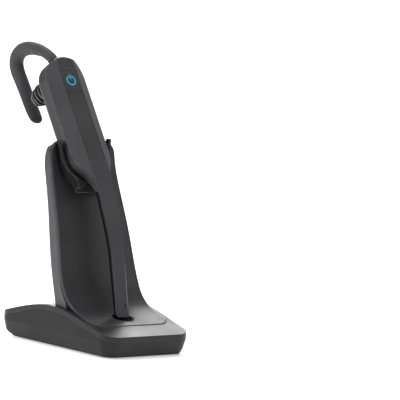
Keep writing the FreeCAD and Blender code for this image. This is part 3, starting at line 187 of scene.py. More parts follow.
# ---------------------------------------------------------------- finishes
@dataclass(frozen=True)
class Moulding:
    """A moulded plastic or rubber skin: eroded grain, uneven sheen, painted shade in joints and hollows,
    marked edges.

    The edge colour, most often paler than the skin, stands partly for scuffing and partly for a painted
    highlight along the rims; where it is darker it is the painted shade of a joint.  A height given for the
    flanks blackens what faces sideways below it, as painted shade.
    """

    name: str
    colour: str
    edge_wear_and_shading: str
    roughness: float = 0.5
    grain_mm: float = 0.6
    grain_depth_mm: float = 0.02
    edge_mm: float = 0.25
    edge_wear_and_shading_share: float = 0.5
    sheen: float = 0.0
    coat: float = 0.0
    ior: float = 1.53
    flow_mm: float = 22.0
    seam_mm: float = 1.0
    hollow_mm: float = 9.0
    painted_flank_shade_below_mm: float = 0.0

    def flanks(self, tree: bpy.types.NodeTree, place: bpy.types.NodeSocket) -> bpy.types.NodeSocket:
        """Masks the boom's flanks, what faces sideways below a height, which are painted black as shade.

        Args:
            tree: the material's node tree.
            place: its Object coordinates.

        Returns:
            The mask, 1 on the flanks.
        """
        face = add_node(tree, "ShaderNodeNewGeometry")
        normal = add_node(tree, "ShaderNodeSeparateXYZ", {"Vector": face.outputs["True Normal"]})
        across = add_node(tree, "ShaderNodeMath", {0: normal.outputs["X"]}, operation="ABSOLUTE")
        sideways = spread(tree, across.outputs[0], 0.0, 1.0, *FLANK_TURN)
        height = add_node(tree, "ShaderNodeSeparateXYZ", {"Vector": place})
        top = self.painted_flank_shade_below_mm
        below = spread(tree, height.outputs["Z"], 1.0, 0.0, (top - 1.0) * MM, top * MM)
        return add_node(tree, "ShaderNodeMath", {0: sideways, 1: below}, operation="MULTIPLY").outputs[0]

    def darkened(self, tree: bpy.types.NodeTree, colour: bpy.types.NodeSocket, reach_mm: float, dark: float,
                 openness: tuple[float, float]) -> bpy.types.NodeSocket:
        """Darkens a colour where little light gets in.

        Args:
            tree: the material's node tree.
            colour: the colour in the open.
            reach_mm: how near a wall has to be to count.
            dark: darkening of the closest corner.
            openness: shares of open sky over which the darkening ends.

        Returns:
            The darkened colour.
        """
        look = add_node(tree, "ShaderNodeAmbientOcclusion", {"Distance": reach_mm * MM}, samples=LOOKS_AROUND)
        return blended(tree, spread(tree, look.outputs["AO"], dark, 0.0, *openness), colour, BLACK)

    def material(self) -> bpy.types.Material:
        """Builds the finish as a material."""
        material, tree, place = start_material(self.name)
        grain = add_node(tree, "ShaderNodeTexNoise", {"Vector": place, "Scale": 1 / (self.grain_mm * MM),
                                                      "Detail": 3.0, "Roughness": 0.6})
        flow = add_node(tree, "ShaderNodeTexNoise", {"Vector": place, "Scale": 1 / (self.flow_mm * MM),
                                                     "Detail": 2.0, "Distortion": 0.4})
        rub = add_node(tree, "ShaderNodeTexNoise",
                       {"Vector": place, "Scale": 1 / (RUB_MM * MM), "Detail": 4.0})
        rounded = add_node(tree, "ShaderNodeBevel", {"Radius": self.edge_mm * MM}, samples=LOOKS_AROUND)
        # Edges: the edge colour mixed in here is partly scuffing and partly a painted highlight line; where
        # it is dark, it is painted joint shade.
        edges = edge_mask(tree, rounded.outputs["Normal"])
        uneven = spread(tree, rub.outputs["Fac"], RUB_LEAST, 1.0)
        edge_wear_and_shading_mask = add_node(tree, "ShaderNodeMath", {0: edges, 1: uneven}, operation="MULTIPLY")
        edge_wear_and_shading_amount = add_node(tree, "ShaderNodeMath", {0: edge_wear_and_shading_mask.outputs[0], 1: self.edge_wear_and_shading_share}, operation="MULTIPLY")
        red, green, blue, _ = linear(self.colour)
        darker, paler = [(red * k, green * k, blue * k, 1.0) for k in FLOW_SHADES]
        skin = blended(tree, spread(tree, flow.outputs["Fac"], 0.0, 1.0), darker, paler)
        speck = blended(tree, spread(tree, grain.outputs["Fac"], 0.0, SPECK_SHARE), skin, linear(self.edge_wear_and_shading))
        rimmed = blended(tree, edge_wear_and_shading_amount.outputs[0], speck, linear(self.edge_wear_and_shading))
        # Painted shade: the colour is darkened in wide hollows, then in joints and grooves.
        colour = self.darkened(tree, rimmed, self.hollow_mm, HOLLOW_DARK, HOLLOW_OPEN)
        colour = self.darkened(tree, colour, self.seam_mm, SEAM_DARK, SEAM_OPEN)
        # Painted shade: the boom's flanks are blackened below a height.
        if self.painted_flank_shade_below_mm:
            colour = blended(tree, self.flanks(tree, place), colour, FLANK_SHADE_BLACK)
        patches = spread(tree, flow.outputs["Fac"], *[self.roughness + change for change in GLOSS_RANGE])
        rough = add_node(tree, "ShaderNodeMath", {0: edge_wear_and_shading_mask.outputs[0], 1: RUBBED_GLOSS, 2: patches},
                         operation="MULTIPLY_ADD")
        bump = add_node(tree, "ShaderNodeBump", {"Height": grain.outputs["Fac"], "Strength": 1.0,
                                                 "Distance": self.grain_depth_mm * MM,
                                                 "Normal": rounded.outputs["Normal"]})
        shader = add_node(tree, "ShaderNodeBsdfPrincipled", {
            "Base Color": colour, "Roughness": rough.outputs[0], "Normal": bump.outputs["Normal"],
            "IOR": self.ior, "Sheen Weight": self.sheen, "Sheen Roughness": 0.45,
            "Coat Weight": self.coat, "Coat Roughness": 0.3})
        add_node(tree, "ShaderNodeOutputMaterial", {"Surface": shader.outputs["BSDF"]})
        return material


@dataclass(frozen=True)
class Metal:
    """A drawn, plated or brushed metal with fine lines along one direction."""

    name: str
    colour: str
    dull: str
    roughness: float = 0.3
    line_mm: float = 0.25
    run: Run = Run.UP

    def material(self) -> bpy.types.Material:
        """Builds the finish as a material."""
        material, tree, place = start_material(self.name)
        drawn = add_node(tree, "ShaderNodeMapping", {"Vector": place, "Scale": self.run.value})
        lines = add_node(tree, "ShaderNodeTexNoise", {"Vector": drawn.outputs["Vector"],
                                                      "Scale": 1 / (self.line_mm * MM), "Detail": 4.0})
        cloud = add_node(tree, "ShaderNodeTexNoise",
                         {"Vector": place, "Scale": 1 / (5.0 * MM), "Detail": 3.0})
        rounded = add_node(tree, "ShaderNodeBevel", {"Radius": 0.15 * MM}, samples=4)
        clouds = spread(tree, cloud.outputs["Fac"], 0.0, 1.0)
        colour = blended(tree, clouds, linear(self.colour), linear(self.dull))
        rough = spread(tree, lines.outputs["Fac"], self.roughness - 0.08, self.roughness + 0.12)
        bump = add_node(tree, "ShaderNodeBump", {"Height": lines.outputs["Fac"], "Strength": 0.6,
                                                 "Distance": 0.01 * MM, "Normal": rounded.outputs["Normal"]})
        shader = add_node(tree, "ShaderNodeBsdfPrincipled", {"Base Color": colour, "Metallic": 1.0,
                                                             "Roughness": rough,
                                                             "Normal": bump.outputs["Normal"]})
        add_node(tree, "ShaderNodeOutputMaterial", {"Surface": shader.outputs["BSDF"]})
        return material


@dataclass(frozen=True)
class SolderMask:
    """Epoxy circuit board under a glossy solder mask, with copper tracks showing through as paler lines."""

    name: str
    mask: str
    track: str
    pitch_mm: float = 2.6

    def material(self) -> bpy.types.Material:
        """Builds the finish as a material."""
        material, tree, place = start_material(self.name)
        cells = add_node(tree, "ShaderNodeTexVoronoi", {"Vector": place, "Scale": 1 / (self.pitch_mm * MM)},
                         feature="DISTANCE_TO_EDGE", distance="EUCLIDEAN")
        lines = spread(tree, cells.outputs["Distance"], 1.0, 0.0, 0.05, 0.09)
        weave = add_node(tree, "ShaderNodeTexNoise",
                         {"Vector": place, "Scale": 1 / (0.5 * MM), "Detail": 2.0})
        bump = add_node(tree, "ShaderNodeBump", {"Height": lines, "Strength": 1.0, "Distance": 0.03 * MM})
        shader = add_node(tree, "ShaderNodeBsdfPrincipled", {
            "Base Color": blended(tree, lines, linear(self.mask), linear(self.track)),
            "Roughness": spread(tree, weave.outputs["Fac"], 0.22, 0.38), "IOR": 1.55,
            "Normal": bump.outputs["Normal"], "Coat Weight": 0.3, "Coat Roughness": 0.15})
        add_node(tree, "ShaderNodeOutputMaterial", {"Surface": shader.outputs["BSDF"]})
        return material


@dataclass(frozen=True)
class LitInlay:
    """Translucent polycarbonate light guide, lit from behind and a little brighter in places."""

    name: str
    dim: str
    bright: str
    glow: float

    def material(self) -> bpy.types.Material:
        """Builds the finish as a material."""
        material, tree, place = start_material(self.name)
        cloud = add_node(tree, "ShaderNodeTexNoise",
                         {"Vector": place, "Scale": 1 / (1.6 * MM), "Detail": 2.0})
        clouds = spread(tree, cloud.outputs["Fac"], 0.0, 1.0)
        colour = blended(tree, clouds, linear(self.dim), linear(self.bright))
        shader = add_node(tree, "ShaderNodeBsdfPrincipled", {
            "Base Color": colour, "Roughness": spread(tree, cloud.outputs["Fac"], 0.28, 0.42), "IOR": 1.58,
            "Emission Color": colour, "Emission Strength": self.glow})
        add_node(tree, "ShaderNodeOutputMaterial", {"Surface": shader.outputs["BSDF"]})
        return material


# Moulded ABS, spark-eroded tool: a dry, even charcoal with a soft broad highlight; a wide pale band along its
# edges is a painted highlight.  The real grain is about 0.15 mm; it is drawn four times as coarse so that it
# shows.
STAND_SKIN = Moulding("abs_spark_eroded_charcoal", "#28282A", "#66676B", roughness=0.42, edge_mm=0.9,
                      edge_wear_and_shading_share=0.9)
# The same moulding on the base, painted darker as a shaded copy of the stand's: darker sides, while the flat
# top still carries the broad highlight, and its edges a painted pale highlight line.  Its IOR is set below
# that of real ABS (1.53), as the tray's is, so that white surroundings don't grey the sides.
BASE_SKIN = Moulding("abs_spark_eroded_shaded_copy", "#19191A", "#6C6D71", roughness=0.38, edge_mm=0.45, edge_wear_and_shading_share=0.9,
                     ior=1.38)
# Black satin saddle: nearly no light comes back from its hollow, which also carries wide painted shade, and
# its thin rim is painted as one pale highlight line.  An IOR of 1.1 is not real ABS; it stands for the deep
# black of the hollow.
CRADLE_SKIN = Moulding("abs_satin_black_cradle", "#030303", "#A4A4A6", roughness=0.7, edge_mm=0.3, edge_wear_and_shading_share=1.0,
                       ior=1.1, hollow_mm=20.0)
# The rear shell of the same ABS, painted a lighter grey as a lit copy for the side that faces the lamps: its
# large plain bow shows every soft highlight.
STAND_BACK = Moulding("abs_spark_eroded_lit_copy", "#4A4A4F", "#7C7D82", roughness=0.42, edge_mm=0.4)
# The tray under the base: the same grain in near-black, so the base seems to float on a shadow.
STAND_LOW = Moulding("abs_spark_eroded_black", "#131313", "#505052", roughness=0.46, edge_mm=0.4, ior=1.38)
# Soft-touch lacquer over ABS: silkier than the stand, with paler rims that are partly scuffing and partly
# painted highlight; the boom's flanks are painted black as shade.
HEADSET_SKIN = Moulding("abs_soft_touch_lacquer", "#323236", "#88888E", roughness=0.42, grain_mm=0.45,
                        grain_depth_mm=0.012, edge_mm=0.35, edge_wear_and_shading_share=0.9, sheen=0.05, painted_flank_shade_below_mm=86.0)
# The same lacquer on the rear half, a shade darker, so the parting to the front half shows.
REAR_SKIN = Moulding("abs_soft_touch_lacquer_rear", "#1E1E20", "#77777D", roughness=0.46, grain_mm=0.45,
                     grain_depth_mm=0.012, edge_mm=0.3, edge_wear_and_shading_share=0.8, sheen=0.05)
# Satin inlay: its edges fall into a fine joint, whose shade is painted on them as near-black lines.
STRIP_SKIN = Moulding("abs_satin_strip", "#414142", "#060606", roughness=0.4, grain_mm=0.4,
                      grain_depth_mm=0.008, edge_mm=0.55, edge_wear_and_shading_share=1.0)
# Finely textured band between the housings: smoother than its neighbours, it catches one narrow highlight.
TRIM_SKIN = Moulding("abs_satin_trim", "#2E2E30", "#6E6E72", roughness=0.38, grain_mm=0.4,
                     grain_depth_mm=0.008, edge_mm=0.15, edge_wear_and_shading_share=0.7)
# Matt ABS, black right through: almost no reflection, so the boom's rear half disappears behind its front.
# Its IOR too is set below the real one.
BOOM_SKIN = Moulding("abs_matt_black_boom", "#070707", "#2A2A2B", roughness=0.7, edge_wear_and_shading_share=0.2, edge_mm=0.15,
                     ior=1.2)
# Moulded keys, polished by fingers: tighter highlight than the lacquer round them.
KEY_SKIN = Moulding("polycarbonate_satin_key", "#232325", "#5A5A5E", roughness=0.38, grain_mm=0.35,
                    grain_depth_mm=0.006, edge_mm=0.2)
# Thermoplastic elastomer over a wire: matt, slightly velvety, paler on its edges, partly from scuffing and
# partly as painted highlight.
HOOK_SKIN = Moulding("elastomer_overmould", "#333335", "#6A6A6E", roughness=0.62, grain_mm=0.7,
                     grain_depth_mm=0.03, edge_mm=0.3, edge_wear_and_shading_share=0.5, sheen=0.15, ior=1.5)
# Injection-moulded silicone, dark: its mid grey and paler rims are painted highlight, as on the lit flanges;
# smoother, with a damp-looking sheen on each flange.
TIP_SKIN = Moulding("silicone_moulded_tip", "#6A6A6C", "#A2A2A4", roughness=0.34, grain_mm=0.5,
                    grain_depth_mm=0.01, edge_mm=0.12, edge_wear_and_shading_share=0.35, sheen=0.1, coat=0.15, ior=1.43, seam_mm=0.3,
                    hollow_mm=2.0)
# Compression-moulded rubber: dead matt and coarse, dusty on its edges.
RUBBER = Moulding("rubber_moulded_pad", "#161616", "#3A3A3A", roughness=0.78, grain_mm=0.8,
                  grain_depth_mm=0.05, edge_mm=0.2, edge_wear_and_shading_share=0.4, ior=1.52)
# Glass-filled nylon for the parts inside: dull black with a slightly dry skin.
INNER_PLASTIC = Moulding("nylon_moulded_black", "#151515", "#3A3A3A", roughness=0.5, edge_wear_and_shading_share=0.3)
# Extruded PVC insulation: even, waxy red.
LEAD_SKIN = Moulding("pvc_extruded_red", "#8C1C16", "#B8483F", roughness=0.4, grain_mm=0.9,
                     grain_depth_mm=0.006)
# Cast epoxy: milky and glossy.
LED_SKIN = Moulding("epoxy_cast_led", "#DAD6C4", "#F2F0E6", roughness=0.2, grain_mm=0.8, grain_depth_mm=0.004)
# Rolled polyimide film: amber, with a hard gloss.
FLEX_SKIN = Moulding("polyimide_film", "#A8691C", "#C98F45", roughness=0.25, grain_mm=0.9,
                     grain_depth_mm=0.004)
# Zinc-plated steel: grey with a faint blue cast and turning marks.
ZINC = Metal("steel_zinc_plated", "#A9ABAE", "#85878B", roughness=0.34, run=Run.ACROSS)
# Deep-drawn steel cans: bright, with fine draw lines up their walls.
CAN_STEEL = Metal("steel_drawn_can", "#B9BABC", "#96979A", roughness=0.3)
# Wire drawn through a die: a little darker, with lines along it.
SPRING_STEEL = Metal("steel_drawn_wire", "#A3A4A6", "#7E7F82", roughness=0.32)
# Hot-rolled plate: dull, with broad rolling marks.
BALLAST = Metal("steel_rolled_plate", "#8F9092", "#6D6E70", roughness=0.45, line_mm=0.5, run=Run.ALONG)
# Aluminium foil of a battery pouch: pale, with wide soft waves in its gloss.
FOIL = Metal("aluminium_pouch_foil", "#C4C5C8", "#A7A8AB", roughness=0.35, line_mm=1.2, run=Run.ACROSS)
# Gold flashed over turned brass: warm and sharply reflecting.
GILT = Metal("brass_gold_plated", "#E0B65A", "#C29A43", roughness=0.25, line_mm=0.2)
# Glass-epoxy board under a printed mask: glossy green, tracks showing through as paler lines.
BOARD = SolderMask("epoxy_board_solder_mask", "#0E3B22", "#1F6B3D")
# Light guide moulded in polycarbonate: blue even in the dark, and a little uneven.
SYMBOL = LitInlay("polycarbonate_light_guide", "#1C92BC", "#28A4CE", 0.45)

NODE_FINISHES = {
    STAND_SKIN: ["tower_front_panel"],
    BASE_SKIN: ["base_upper_shell"],
    CRADLE_SKIN: ["cradle_insert"],
    STAND_BACK: ["tower_rear_shell"],
    STAND_LOW: ["base_lower_shell"],
    HEADSET_SKIN: ["front_shell"],
    REAR_SKIN: ["rear_shell"],
    STRIP_SKIN: ["centre_strip", "power_button"],
    TRIM_SKIN: ["trim_band"],
    BOOM_SKIN: ["boom_back"],
    KEY_SKIN: ["volume_rocker", "mute_key"],
    INNER_PLASTIC: ["board_parts", "power_jack", "contact_block", "key_switches", "ear_nozzle", "hook_pivot"],
    LEAD_SKIN: ["charge_leads"],
    LED_SKIN: ["status_led"],
    FLEX_SKIN: ["mic_flex"],
    ZINC: ["base_screws", "tower_screws", "headset_screws"],
    CAN_STEEL: ["mic_capsule", "button_dome", "antenna", "speaker_capsule"],
    SPRING_STEEL: ["ear_hook_core"],
    BALLAST: ["ballast_plate"],
    FOIL: ["battery"],
    GILT: ["contact_pin_left", "contact_pin_right", "charge_pads"],
    BOARD: ["charge_board", "headset_board"],
    SYMBOL: ["power_symbol"],
}


# ---------------------------------------------------------------- mesh helpers
def seated(point: Vector, lean: float = 33.9, y: float = 8.2, z: float = 102.0) -> Vector:
    """Carries a point of the headset's own body to its place in the cradle.

    Args:
        point: X across, Y depth from the front face, Z up the body, in millimetres.
        lean: lean of the body from the vertical, in degrees.
        y: where the body's front face turns into the boom, along Y.
        z: its height.

    Returns:
        The point in the product's frame, in metres.
    """
    leaning = Matrix.Rotation(math.radians(-lean), 3, "X") @ point
    return (leaning + Vector((0.0, y, z))) * MM


def mesh_object(name: str, points: list[Vector], faces: list[tuple[int, ...]],
                smooth: bool = True) -> bpy.types.Object:
    """Makes a mesh object at the origin and links it to the scene.

    Args:
        name: the object's name.
        points: vertices, in metres.
        faces: vertex numbers of each face.
        smooth: shade it smooth.

    Returns:
        The object.
    """
    mesh = bpy.data.meshes.new(name)
    mesh.from_pydata([tuple(p) for p in points], [], faces)
    mesh.validate()
    work = bmesh.new()
    work.from_mesh(mesh)
    bmesh.ops.recalc_face_normals(work, faces=work.faces)
    work.to_mesh(mesh)
    work.free()
    mesh.shade_smooth() if smooth else mesh.shade_flat()
    made = bpy.data.objects.new(name, mesh)
    bpy.context.scene.collection.objects.link(made)
    return made


def turned(profile: list[tuple[float, float]], count: int = 64,
           closed: bool = True) -> tuple[list[Vector], list[tuple[int, ...]]]:
    """Turns a profile about the Z axis.

    Args:
        profile: (radius, height) points in order.
        count: points round each ring.
        closed: join the last ring to the first, as for a tube's wall.

    Returns:
        Vertices and faces.
    """
    points = [Vector((r * math.cos(math.tau * k / count), r * math.sin(math.tau * k / count), h))
              for r, h in profile for k in range(count)]
    rings = len(profile)
    faces = []
    for i in range(rings if closed else rings - 1):
        for k in range(count):
            a, b = i * count, ((i + 1) % rings) * count
            faces.append((a + k, a + (k + 1) % count, b + (k + 1) % count, b + k))
    return points, faces


def smooth_path(points: list[tuple[float, float]], shares: list[float],
                steps: int = 40) -> list[tuple[Vector, Vector]]:
    """Follows a smooth curve through points.

    Args:
        points: (depth, height) points that the curve passes.
        shares: rising shares of its length at which places are wanted.
        steps: straight pieces between two points.

    Returns:
        Place and unit tangent at each.
    """
    fixed = [Vector(p) for p in points]
    ends = [2 * fixed[0] - fixed[1]] + fixed + [2 * fixed[-1] - fixed[-2]]
    dense = []
    for i in range(1, len(ends) - 2):
        a, b, c, d = ends[i - 1:i + 3]
        for step in range(steps):
            t = step / steps
            dense.append(0.5 * (2 * b + (c - a) * t + (2 * a - 5 * b + 4 * c - d) * t * t
                                + (3 * b - a - 3 * c + d) * t ** 3))
    dense.append(fixed[-1])
    lengths = [0.0]
    for a, b in zip(dense, dense[1:]):
        lengths.append(lengths[-1] + (b - a).length)
    places, index = [], 0
    for share in shares:
        wanted = lengths[-1] * share
        while index < len(dense) - 2 and lengths[index + 1] < wanted:
            index += 1
        a, b = dense[index], dense[index + 1]
        part = (wanted - lengths[index]) / max(lengths[index + 1] - lengths[index], 1e-9)
        places.append((a.lerp(b, min(part, 1.0)), (b - a).normalized()))
    return places


def softened_copy(node: str, name: str, edge_mm: float) -> bpy.types.Object:
    """Copies a CAD node as one skin with really rounded edges.

    Args:
        node: CAD node to copy.
        name: name of the copy.
        edge_mm: radius of the edges.

    Returns:
        The new object, with its bevel applied.
    """
    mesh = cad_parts[node].data.copy()
    work = bmesh.new()
    work.from_mesh(mesh)
    bmesh.ops.remove_doubles(work, verts=work.verts, dist=MERGE_MM * MM)
    bmesh.ops.recalc_face_normals(work, faces=work.faces)
    work.to_mesh(mesh)
    work.free()
    made = bpy.data.objects.new(name, mesh)
    bpy.context.scene.collection.objects.link(made)
    bevel = made.modifiers.new("edges", "BEVEL")
    bevel.width, bevel.segments, bevel.limit_method = edge_mm * MM, SOFT_STEPS, "ANGLE"
    bevel.angle_limit = math.radians(SOFT_ANGLE)
    return settled(made)


def settled(made: bpy.types.Object) -> bpy.types.Object:
    """Turns an object's modifiers into plain mesh.

    Args:
        made: object with modifiers.

    Returns:
        The same object, with a plain mesh and no modifiers.
    """
    graph = bpy.context.evaluated_depsgraph_get()
    plain = bpy.data.meshes.new_from_object(made.evaluated_get(graph), depsgraph=graph)
    made.modifiers.clear()
    made.data = plain
    made.data.shade_smooth()
    return made


# ---------------------------------------------------------------- what repeats
@dataclass
class SetOut:
    """Geometry Nodes tree that sets one shape out at points, each with its own stretch and turn."""

    name: str

    def tree(self) -> bpy.types.NodeTree:
        """Builds the tree: points with attributes 'stretch' and 'turn', a shape and a material."""
        tree = bpy.data.node_groups.new(self.name, "GeometryNodeTree")
        face = tree.interface
        for name, kind in (("Geometry", "Geometry"), ("Shape", "Object"), ("Size", "Float"),
                           ("Finish", "Material")):
            face.new_socket(name, in_out="INPUT", socket_type=f"NodeSocket{kind}")
        face.new_socket("Geometry", in_out="OUTPUT", socket_type="NodeSocketGeometry")
        given = add_node(tree, "NodeGroupInput")
        stretch, turn = [add_node(tree, "GeometryNodeInputNamedAttribute", {"Name": name},
                                  data_type="FLOAT_VECTOR") for name in ("stretch", "turn")]
        shape = add_node(tree, "GeometryNodeObjectInfo", {"Object": given.outputs["Shape"]})
        scale = add_node(tree, "ShaderNodeVectorMath",
                         {0: stretch.outputs["Attribute"], "Scale": given.outputs["Size"]}, operation="SCALE")
        rotation = add_node(tree, "FunctionNodeEulerToRotation", {0: turn.outputs["Attribute"]})
        dots = add_node(tree, "GeometryNodeMeshToPoints", {"Mesh": given.outputs["Geometry"]})
        placed = add_node(tree, "GeometryNodeInstanceOnPoints", {
            "Points": dots.outputs["Points"], "Instance": shape.outputs["Geometry"],
            "Rotation": rotation.outputs[0], "Scale": scale.outputs[0]})
        real = add_node(tree, "GeometryNodeRealizeInstances", {0: placed.outputs["Instances"]})
        dressed = add_node(tree, "GeometryNodeSetMaterial", {"Geometry": real.outputs[0],
                                                             "Material": given.outputs["Finish"]})
        add_node(tree, "NodeGroupOutput", {0: dressed.outputs["Geometry"]})
        return tree

    def make(self, piece: str, places: list[Vector], stretches: list[Vector], turns: list[Vector],
             shape: bpy.types.Object, finish: bpy.types.Material, size: float = 1.0) -> bpy.types.Object:
        """Sets the shape out and turns the result into plain mesh.

        Args:
            piece: name of the new object.
            places: where each copy stands, in metres.
            stretches: scale of each copy along X, Y and Z.
            turns: turn of each copy, in radians.
            shape: the shape to repeat, which is removed afterwards.
            finish: material of the copies.
            size: scale of all the copies.

        Returns:
            The plain mesh object.
        """
        made = mesh_object(piece, places, [])
        for name, values in (("stretch", stretches), ("turn", turns)):
            attribute = made.data.attributes.new(name, "FLOAT_VECTOR", "POINT")
            for k, value in enumerate(values):
                attribute.data[k].vector = value
        tree = self.tree()
        sockets = {s.name: s.identifier for s in tree.interface.items_tree if s.in_out == "INPUT"}
        modifier = made.modifiers.new("set_out", "NODES")
        modifier.node_group = tree
        modifier[sockets["Shape"]] = shape
        modifier[sockets["Size"]] = size
        modifier[sockets["Finish"]] = finish
        settled(made)
        bpy.data.objects.remove(shape)
        return made


# ---------------------------------------------------------------- ear parts
@dataclass
class EarTip:
    """Silicone tip: a sleeve on the sound tube with four umbrella-shaped flanges.

    Lengths are in millimetres along the tube from the body's rear face.  Each flange is its place and radius.
    """

    nozzle_s: float = 55.0
    nozzle_tilt: float = 0.0
    body_depth: float = 13.5
    bore: float = 2.0
    fit: float = 3.04
    sleeve: float = 3.95
    start: float = 7.0
    seat: float = 14.6
    end: float = 20.4
    flanges: tuple[tuple[float, float], ...] = ((9.0, 6.35), (12.2, 6.35), (15.2, 5.85), (17.8, 4.95))
    flange_length: float = 2.6

    def placed(self, point: Vector) -> Vector:
        """Carries a point of the tip's own axis, in millimetres, to its place in metres."""
        tilt = Matrix.Rotation(math.radians(-90 - self.nozzle_tilt), 3, "X")
        return seated(tilt @ point + Vector((0.0, self.body_depth, self.nozzle_s)))

    def flange(self) -> bpy.types.Object:
        """Makes one flange of unit radius and unit length, a thin skirt that curls in at its rim."""
        outer = [(0.55, 1.0), (0.66, 0.93), (0.78, 0.76), (0.9, 0.47), (0.965, 0.2), (1.0, 0.06),
                 (0.996, 0.0)]
        inner = [(0.968, -0.02), (0.94, 0.05), (0.905, 0.18), (0.84, 0.42), (0.72, 0.64), (0.6, 0.78),
                 (0.55, 0.8)]
        points, faces = turned(outer + inner)
        return mesh_object("flange_shape", points, faces)

    def sleeve_mesh(self) -> tuple[list[Vector], list[tuple[int, ...]]]:
        """Makes the sleeve with a rounded nose and a shoulder for the tube's end."""
        s, e = self.sleeve, self.end
        profile = [(self.fit, self.start), (s - 0.25, self.start), (s - 0.05, self.start + 0.15),
                   (s, self.start + 0.5), (s, e - 1.6), (s - 0.12, e - 0.85), (s - 0.45, e - 0.3),
                   (s - 0.95, e - 0.04), (s - 1.45, e), (self.bore + 0.25, e - 0.12), (self.bore, e - 0.5),
                   (self.bore, self.seat), (self.fit, self.seat)]
        return turned(profile)

    def build(self) -> bpy.types.Object:
        """Builds the tip and stands it for its CAD node."""
        finish = TIP_SKIN.material()
        places = [Vector((0.0, 0.0, z)) for z, _ in self.flanges]
        stretches = [Vector((r, r, self.flange_length)) for _, r in self.flanges]
        skirts = SetOut("flanges_on_sleeve").make("skirts", places, stretches, [Vector()] * len(places),
                                                  self.flange(), finish)
        points, faces = self.sleeve_mesh()
        start = len(points)
        points += [vertex.co.copy() for vertex in skirts.data.vertices]
        faces += [tuple(start + k for k in polygon.vertices) for polygon in skirts.data.polygons]
        bpy.data.objects.remove(skirts)
        made = mesh_object("silicone_ear_tip", [self.placed(p) for p in points], faces)
        made.data.materials.append(finish)
        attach(made, Body.HEADSET.value)
        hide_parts("ear_tip")
        return made


@dataclass
class NozzleMesh:
    """Woven wire disc in the mouth of the sound tube."""

    radius: float = 1.9
    pitch: float = 0.42
    wire: float = 0.09
    crossing: float = 0.55
    wire_sides: int = 8

    def build(self, tip: EarTip) -> bpy.types.Object:
        """Weaves the disc where its CAD node is.

        Args:
            tip: the ear tip, which shares the sound tube's axis.

        Returns:
            The woven disc.
        """
        low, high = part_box("nozzle_mesh")
        middle = (low + high) / 2
        points, faces = turned([(0.0001, -1.0), (1.0, -1.0), (1.0, 1.0), (0.0001, 1.0)],
                               self.wire_sides, False)
        wire = mesh_object("wire_shape", points, faces)
        places, stretches, turns = [], [], []
        count = int(self.radius / self.pitch)
        for k in range(-count, count + 1):
            reach = math.sqrt(max(self.radius ** 2 - (k * self.pitch) ** 2, 0.01))
            for first in (True, False):
                lift = self.wire * (self.crossing if first else -self.crossing)
                places.append(Vector((0.0, k * self.pitch, lift) if first else (k * self.pitch, 0.0, lift)))
                stretches.append(Vector((self.wire, self.wire, reach)))
                turns.append(Vector((0.0, math.pi / 2, 0.0) if first else (math.pi / 2, 0.0, 0.0)))
        finish = CAN_STEEL.material()
        made = SetOut("woven_wires").make("woven_nozzle_mesh", places, stretches, turns, wire, finish)
        origin = tip.placed(Vector())
        for vertex in made.data.vertices:
            vertex.co = tip.placed(vertex.co) - origin + middle
        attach(made, Body.HEADSET.value)
        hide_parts("nozzle_mesh")
        return made


